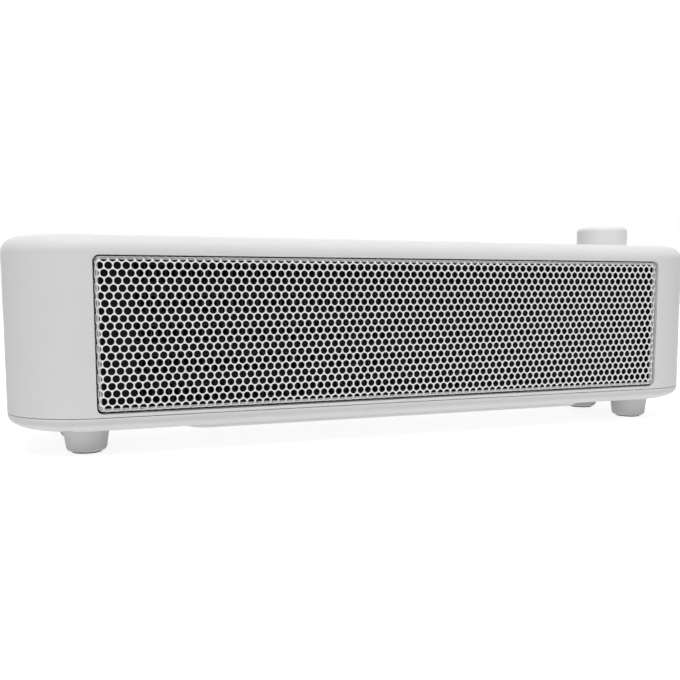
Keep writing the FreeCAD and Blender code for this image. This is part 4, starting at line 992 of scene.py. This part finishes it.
flange_depth = grille_high.y - grille_low.y - BEND_RADIUS
grille = grown("grille", punched_sheet_tree(), {
    "Pitch": HOLE_PITCH,
    "Hole Radius": HOLE_RADIUS,
    "Shift Across": HOLE_SHIFT[0],
    "Shift Up": HOLE_SHIFT[1],
    "Flat Width": grille_high.x - grille_low.x - 2 * BEND_RADIUS,
    "Flat Height": grille_high.z - grille_low.z - 2 * BEND_RADIUS,
    "Bend Radius": BEND_RADIUS,
    "Flange": BEND_RADIUS * QUARTER_TURN + flange_depth,
    "Punched Margin": PUNCHED_MARGIN,
    "Front": grille_low.y,
    "Middle": (grille_low.z + grille_high.z) / 2,
}, finishes["grille_metal"])
thicken = grille.modifiers.new("thickness", "SOLIDIFY")
thicken.thickness = SHEET_THICKNESS * MM
thicken.offset = -1
settle(grille)
smooth(grille)
dress(grille, "grille_metal", "housing", "front_grille")

# %% [markdown]
# ## The slots of the rear panel
# The fan draws its air through a row of upright slots at the back.
# An array modifier could repeat a slot, but it counts from one end, and this row is centred on the body.
# One slot is a rounded outline drawn out to a prism, and a tree sets it out to both sides at an even pitch.

# %% Row of slots
SLOT_COUNT = 43
SLOT_PITCH = 6
SLOT_WIDTH = 3
SLOT_LENGTH = 50
SLOT_CORNER = 1.2
SLOT_CORNER_STEPS = 5
PANEL_EDGE = 0.6


def slot_row_tree():
    """A row of rounded prisms, to cut the slots with."""
    tree = Tree("slot_row", ["Pitch", "Slot Width", "Slot Length", "Corner", "Start", "End", "Middle"])
    size = tree.size
    steps = tree.number("SUBTRACT", tree.add("GeometryNodeInputIndex"), (SLOT_COUNT - 1) / 2)
    place = tree.point(tree.number("MULTIPLY", steps, size["Pitch"]), 0.0, size["Middle"])
    points = tree.add("GeometryNodePoints", Count=SLOT_COUNT, Position=place)
    outline = tree.add(
        "GeometryNodeCurvePrimitiveQuadrilateral", Width=size["Slot Width"], Height=size["Slot Length"])
    soft = tree.add(
        "GeometryNodeFilletCurve", {"mode": "POLY"},
        Curve=outline, Count=SLOT_CORNER_STEPS, Radius=size["Corner"])
    start, end = [tree.point(0.0, size[name], 0.0) for name in ("Start", "End")]
    line = tree.add("GeometryNodeCurvePrimitiveLine", Start=start, End=end)
    prism = tree.add("GeometryNodeCurveToMesh", Curve=line, Profile_Curve=soft, Fill_Caps=True)
    return tree.close(tree.add("GeometryNodeInstanceOnPoints", Points=points, Instance=prism))


slots = grown("slots", slot_row_tree(), {
    "Pitch": SLOT_PITCH,
    "Slot Width": SLOT_WIDTH,
    "Slot Length": SLOT_LENGTH,
    "Corner": SLOT_CORNER,
    "Start": intake_low.y - PANEL_EDGE,
    "End": intake_high.y + PANEL_EDGE,
    "Middle": opening_middle,
}, finishes["white_plastic"])
print(f"slots: {SLOT_COUNT}, {SLOT_PITCH} mm apart")

# %% [markdown]
# ## The rear panel
# The panel is a moulding of its own: a flange that lies inside the shell, and a plug that fills the window.
# Two boxes could be joined for it, but rings keep the flange, the step and the plug's round edge
# in one closed skin. The whole row of slots is then cut out at once, and the edges are softened.

# %% Rear intake panel
PLUG_INSET = 2.2
FLANGE_THICKNESS = 2


def panel_ring(inset, y):
    """The panel's outline drawn in by an inset, at one depth."""
    ring = rounded_ring(
        intake_high.x - intake_low.x - 2 * inset, intake_high.z - intake_low.z - 2 * inset,
        INTAKE_CORNER + INTAKE_OVERLAP - inset, 0, WINDOW_STEPS)
    return [Vector((point.x, y, opening_middle + point.y)) for point in ring]


flange_face = intake_low.y + FLANGE_THICKNESS
profile = [(0, intake_low.y), (0, flange_face), (PLUG_INSET, flange_face)]
profile += arc(PLUG_INSET + PANEL_EDGE, intake_high.y - PANEL_EDGE, PANEL_EDGE, 180, 90, steps=5)
panel = lofted("panel", [panel_ring(inset, y) for inset, y in profile])
cut_away(panel, slots)
soften(panel, WINDOW_EDGE)
dress(panel, "white_plastic", "housing", "rear_intake_panel")

# %% [markdown]
# ## The base screws
# Four screws hold the body together from below. Only their heads show, each with a cross for the driver.
# Each could be copied by hand to its corner. Here one screw is made of a head, a shank and a sunk cross,
# and a tree sets it on the four corners of a grid, so that all of them stay the same.

# %% Base screws
SHANK_RADIUS = 1.5
HEAD_HEIGHT = 2.2
HEAD_EDGE = 0.35
CROSS_LENGTH = 3.4
CROSS_WIDTH = 0.8
CROSS_DEPTH = 1.2
ROD_SIDES = 40


def cross_screw_tree():
    """A screw on each corner of a grid, with its head down."""
    tree = Tree("cross_screws", [
        "Across", "Along", "Level", "Length", "Head Radius", "Head Height", "Shank Radius", "Cross Length",
        "Cross Width", "Cross Depth"])
    size = tree.size

    def raised(geometry, level):
        """A geometry moved up to a level."""
        return tree.add("GeometryNodeTransform", Geometry=geometry, Translation=tree.point(0.0, 0.0, level))

    def box(width, depth, height, level):
        """A box with its middle at a level."""
        return raised(tree.add("GeometryNodeMeshCube", Size=tree.point(width, depth, height)), level)

    def rod(radius, height, level):
        """A round rod with its middle at a level."""
        cylinder = tree.add("GeometryNodeMeshCylinder", Vertices=ROD_SIDES, Radius=radius, Depth=height)
        return raised(cylinder, level)

    half_length = tree.number("MULTIPLY", size["Length"], 0.5)
    head_middle = tree.number("MULTIPLY", size["Head Height"], -0.5)
    head_end = tree.number("MULTIPLY", size["Head Height"], -1.0)
    deep = tree.number("MULTIPLY", size["Cross Depth"], 2.0)
    bars = tree.join(
        box(size["Cross Length"], size["Cross Width"], deep, head_end),
        box(size["Cross Width"], size["Cross Length"], deep, head_end))
    head = rod(size["Head Radius"], size["Head Height"], head_middle)
    sunk = tree.add(
        "GeometryNodeMeshBoolean", {"operation": "DIFFERENCE", "solver": "EXACT"},
        Mesh_1=head, Mesh_2=bars, Self_Intersection=True)
    screw = tree.join(sunk, rod(size["Shank Radius"], size["Length"], half_length))
    grid = tree.add(
        "GeometryNodeMeshGrid", Size_X=size["Across"], Size_Y=size["Along"], Vertices_X=2, Vertices_Y=2)
    corners = raised(grid, size["Level"])
    return tree.close(tree.add("GeometryNodeInstanceOnPoints", Points=corners, Instance=screw))


screws = grown("screws", cross_screw_tree(), {
    "Across": 2 * screw_x,
    "Along": 2 * screw_y,
    "Level": screw_low.z + HEAD_HEIGHT,
    "Length": screw_high.z - screw_low.z - HEAD_HEIGHT,
    "Head Radius": SCREW_HEAD_RADIUS,
    "Head Height": HEAD_HEIGHT,
    "Shank Radius": SHANK_RADIUS,
    "Cross Length": CROSS_LENGTH,
    "Cross Width": CROSS_WIDTH,
    "Cross Depth": CROSS_DEPTH,
}, finishes["zinc_screws"])
soften(screws, HEAD_EDGE)
dress(screws, "zinc_screws", "housing", "base_screws")

# %% [markdown]
# ## Leave the studio
# A dressed piece may add soft edges and finishes, but it doesn't make the heater larger.
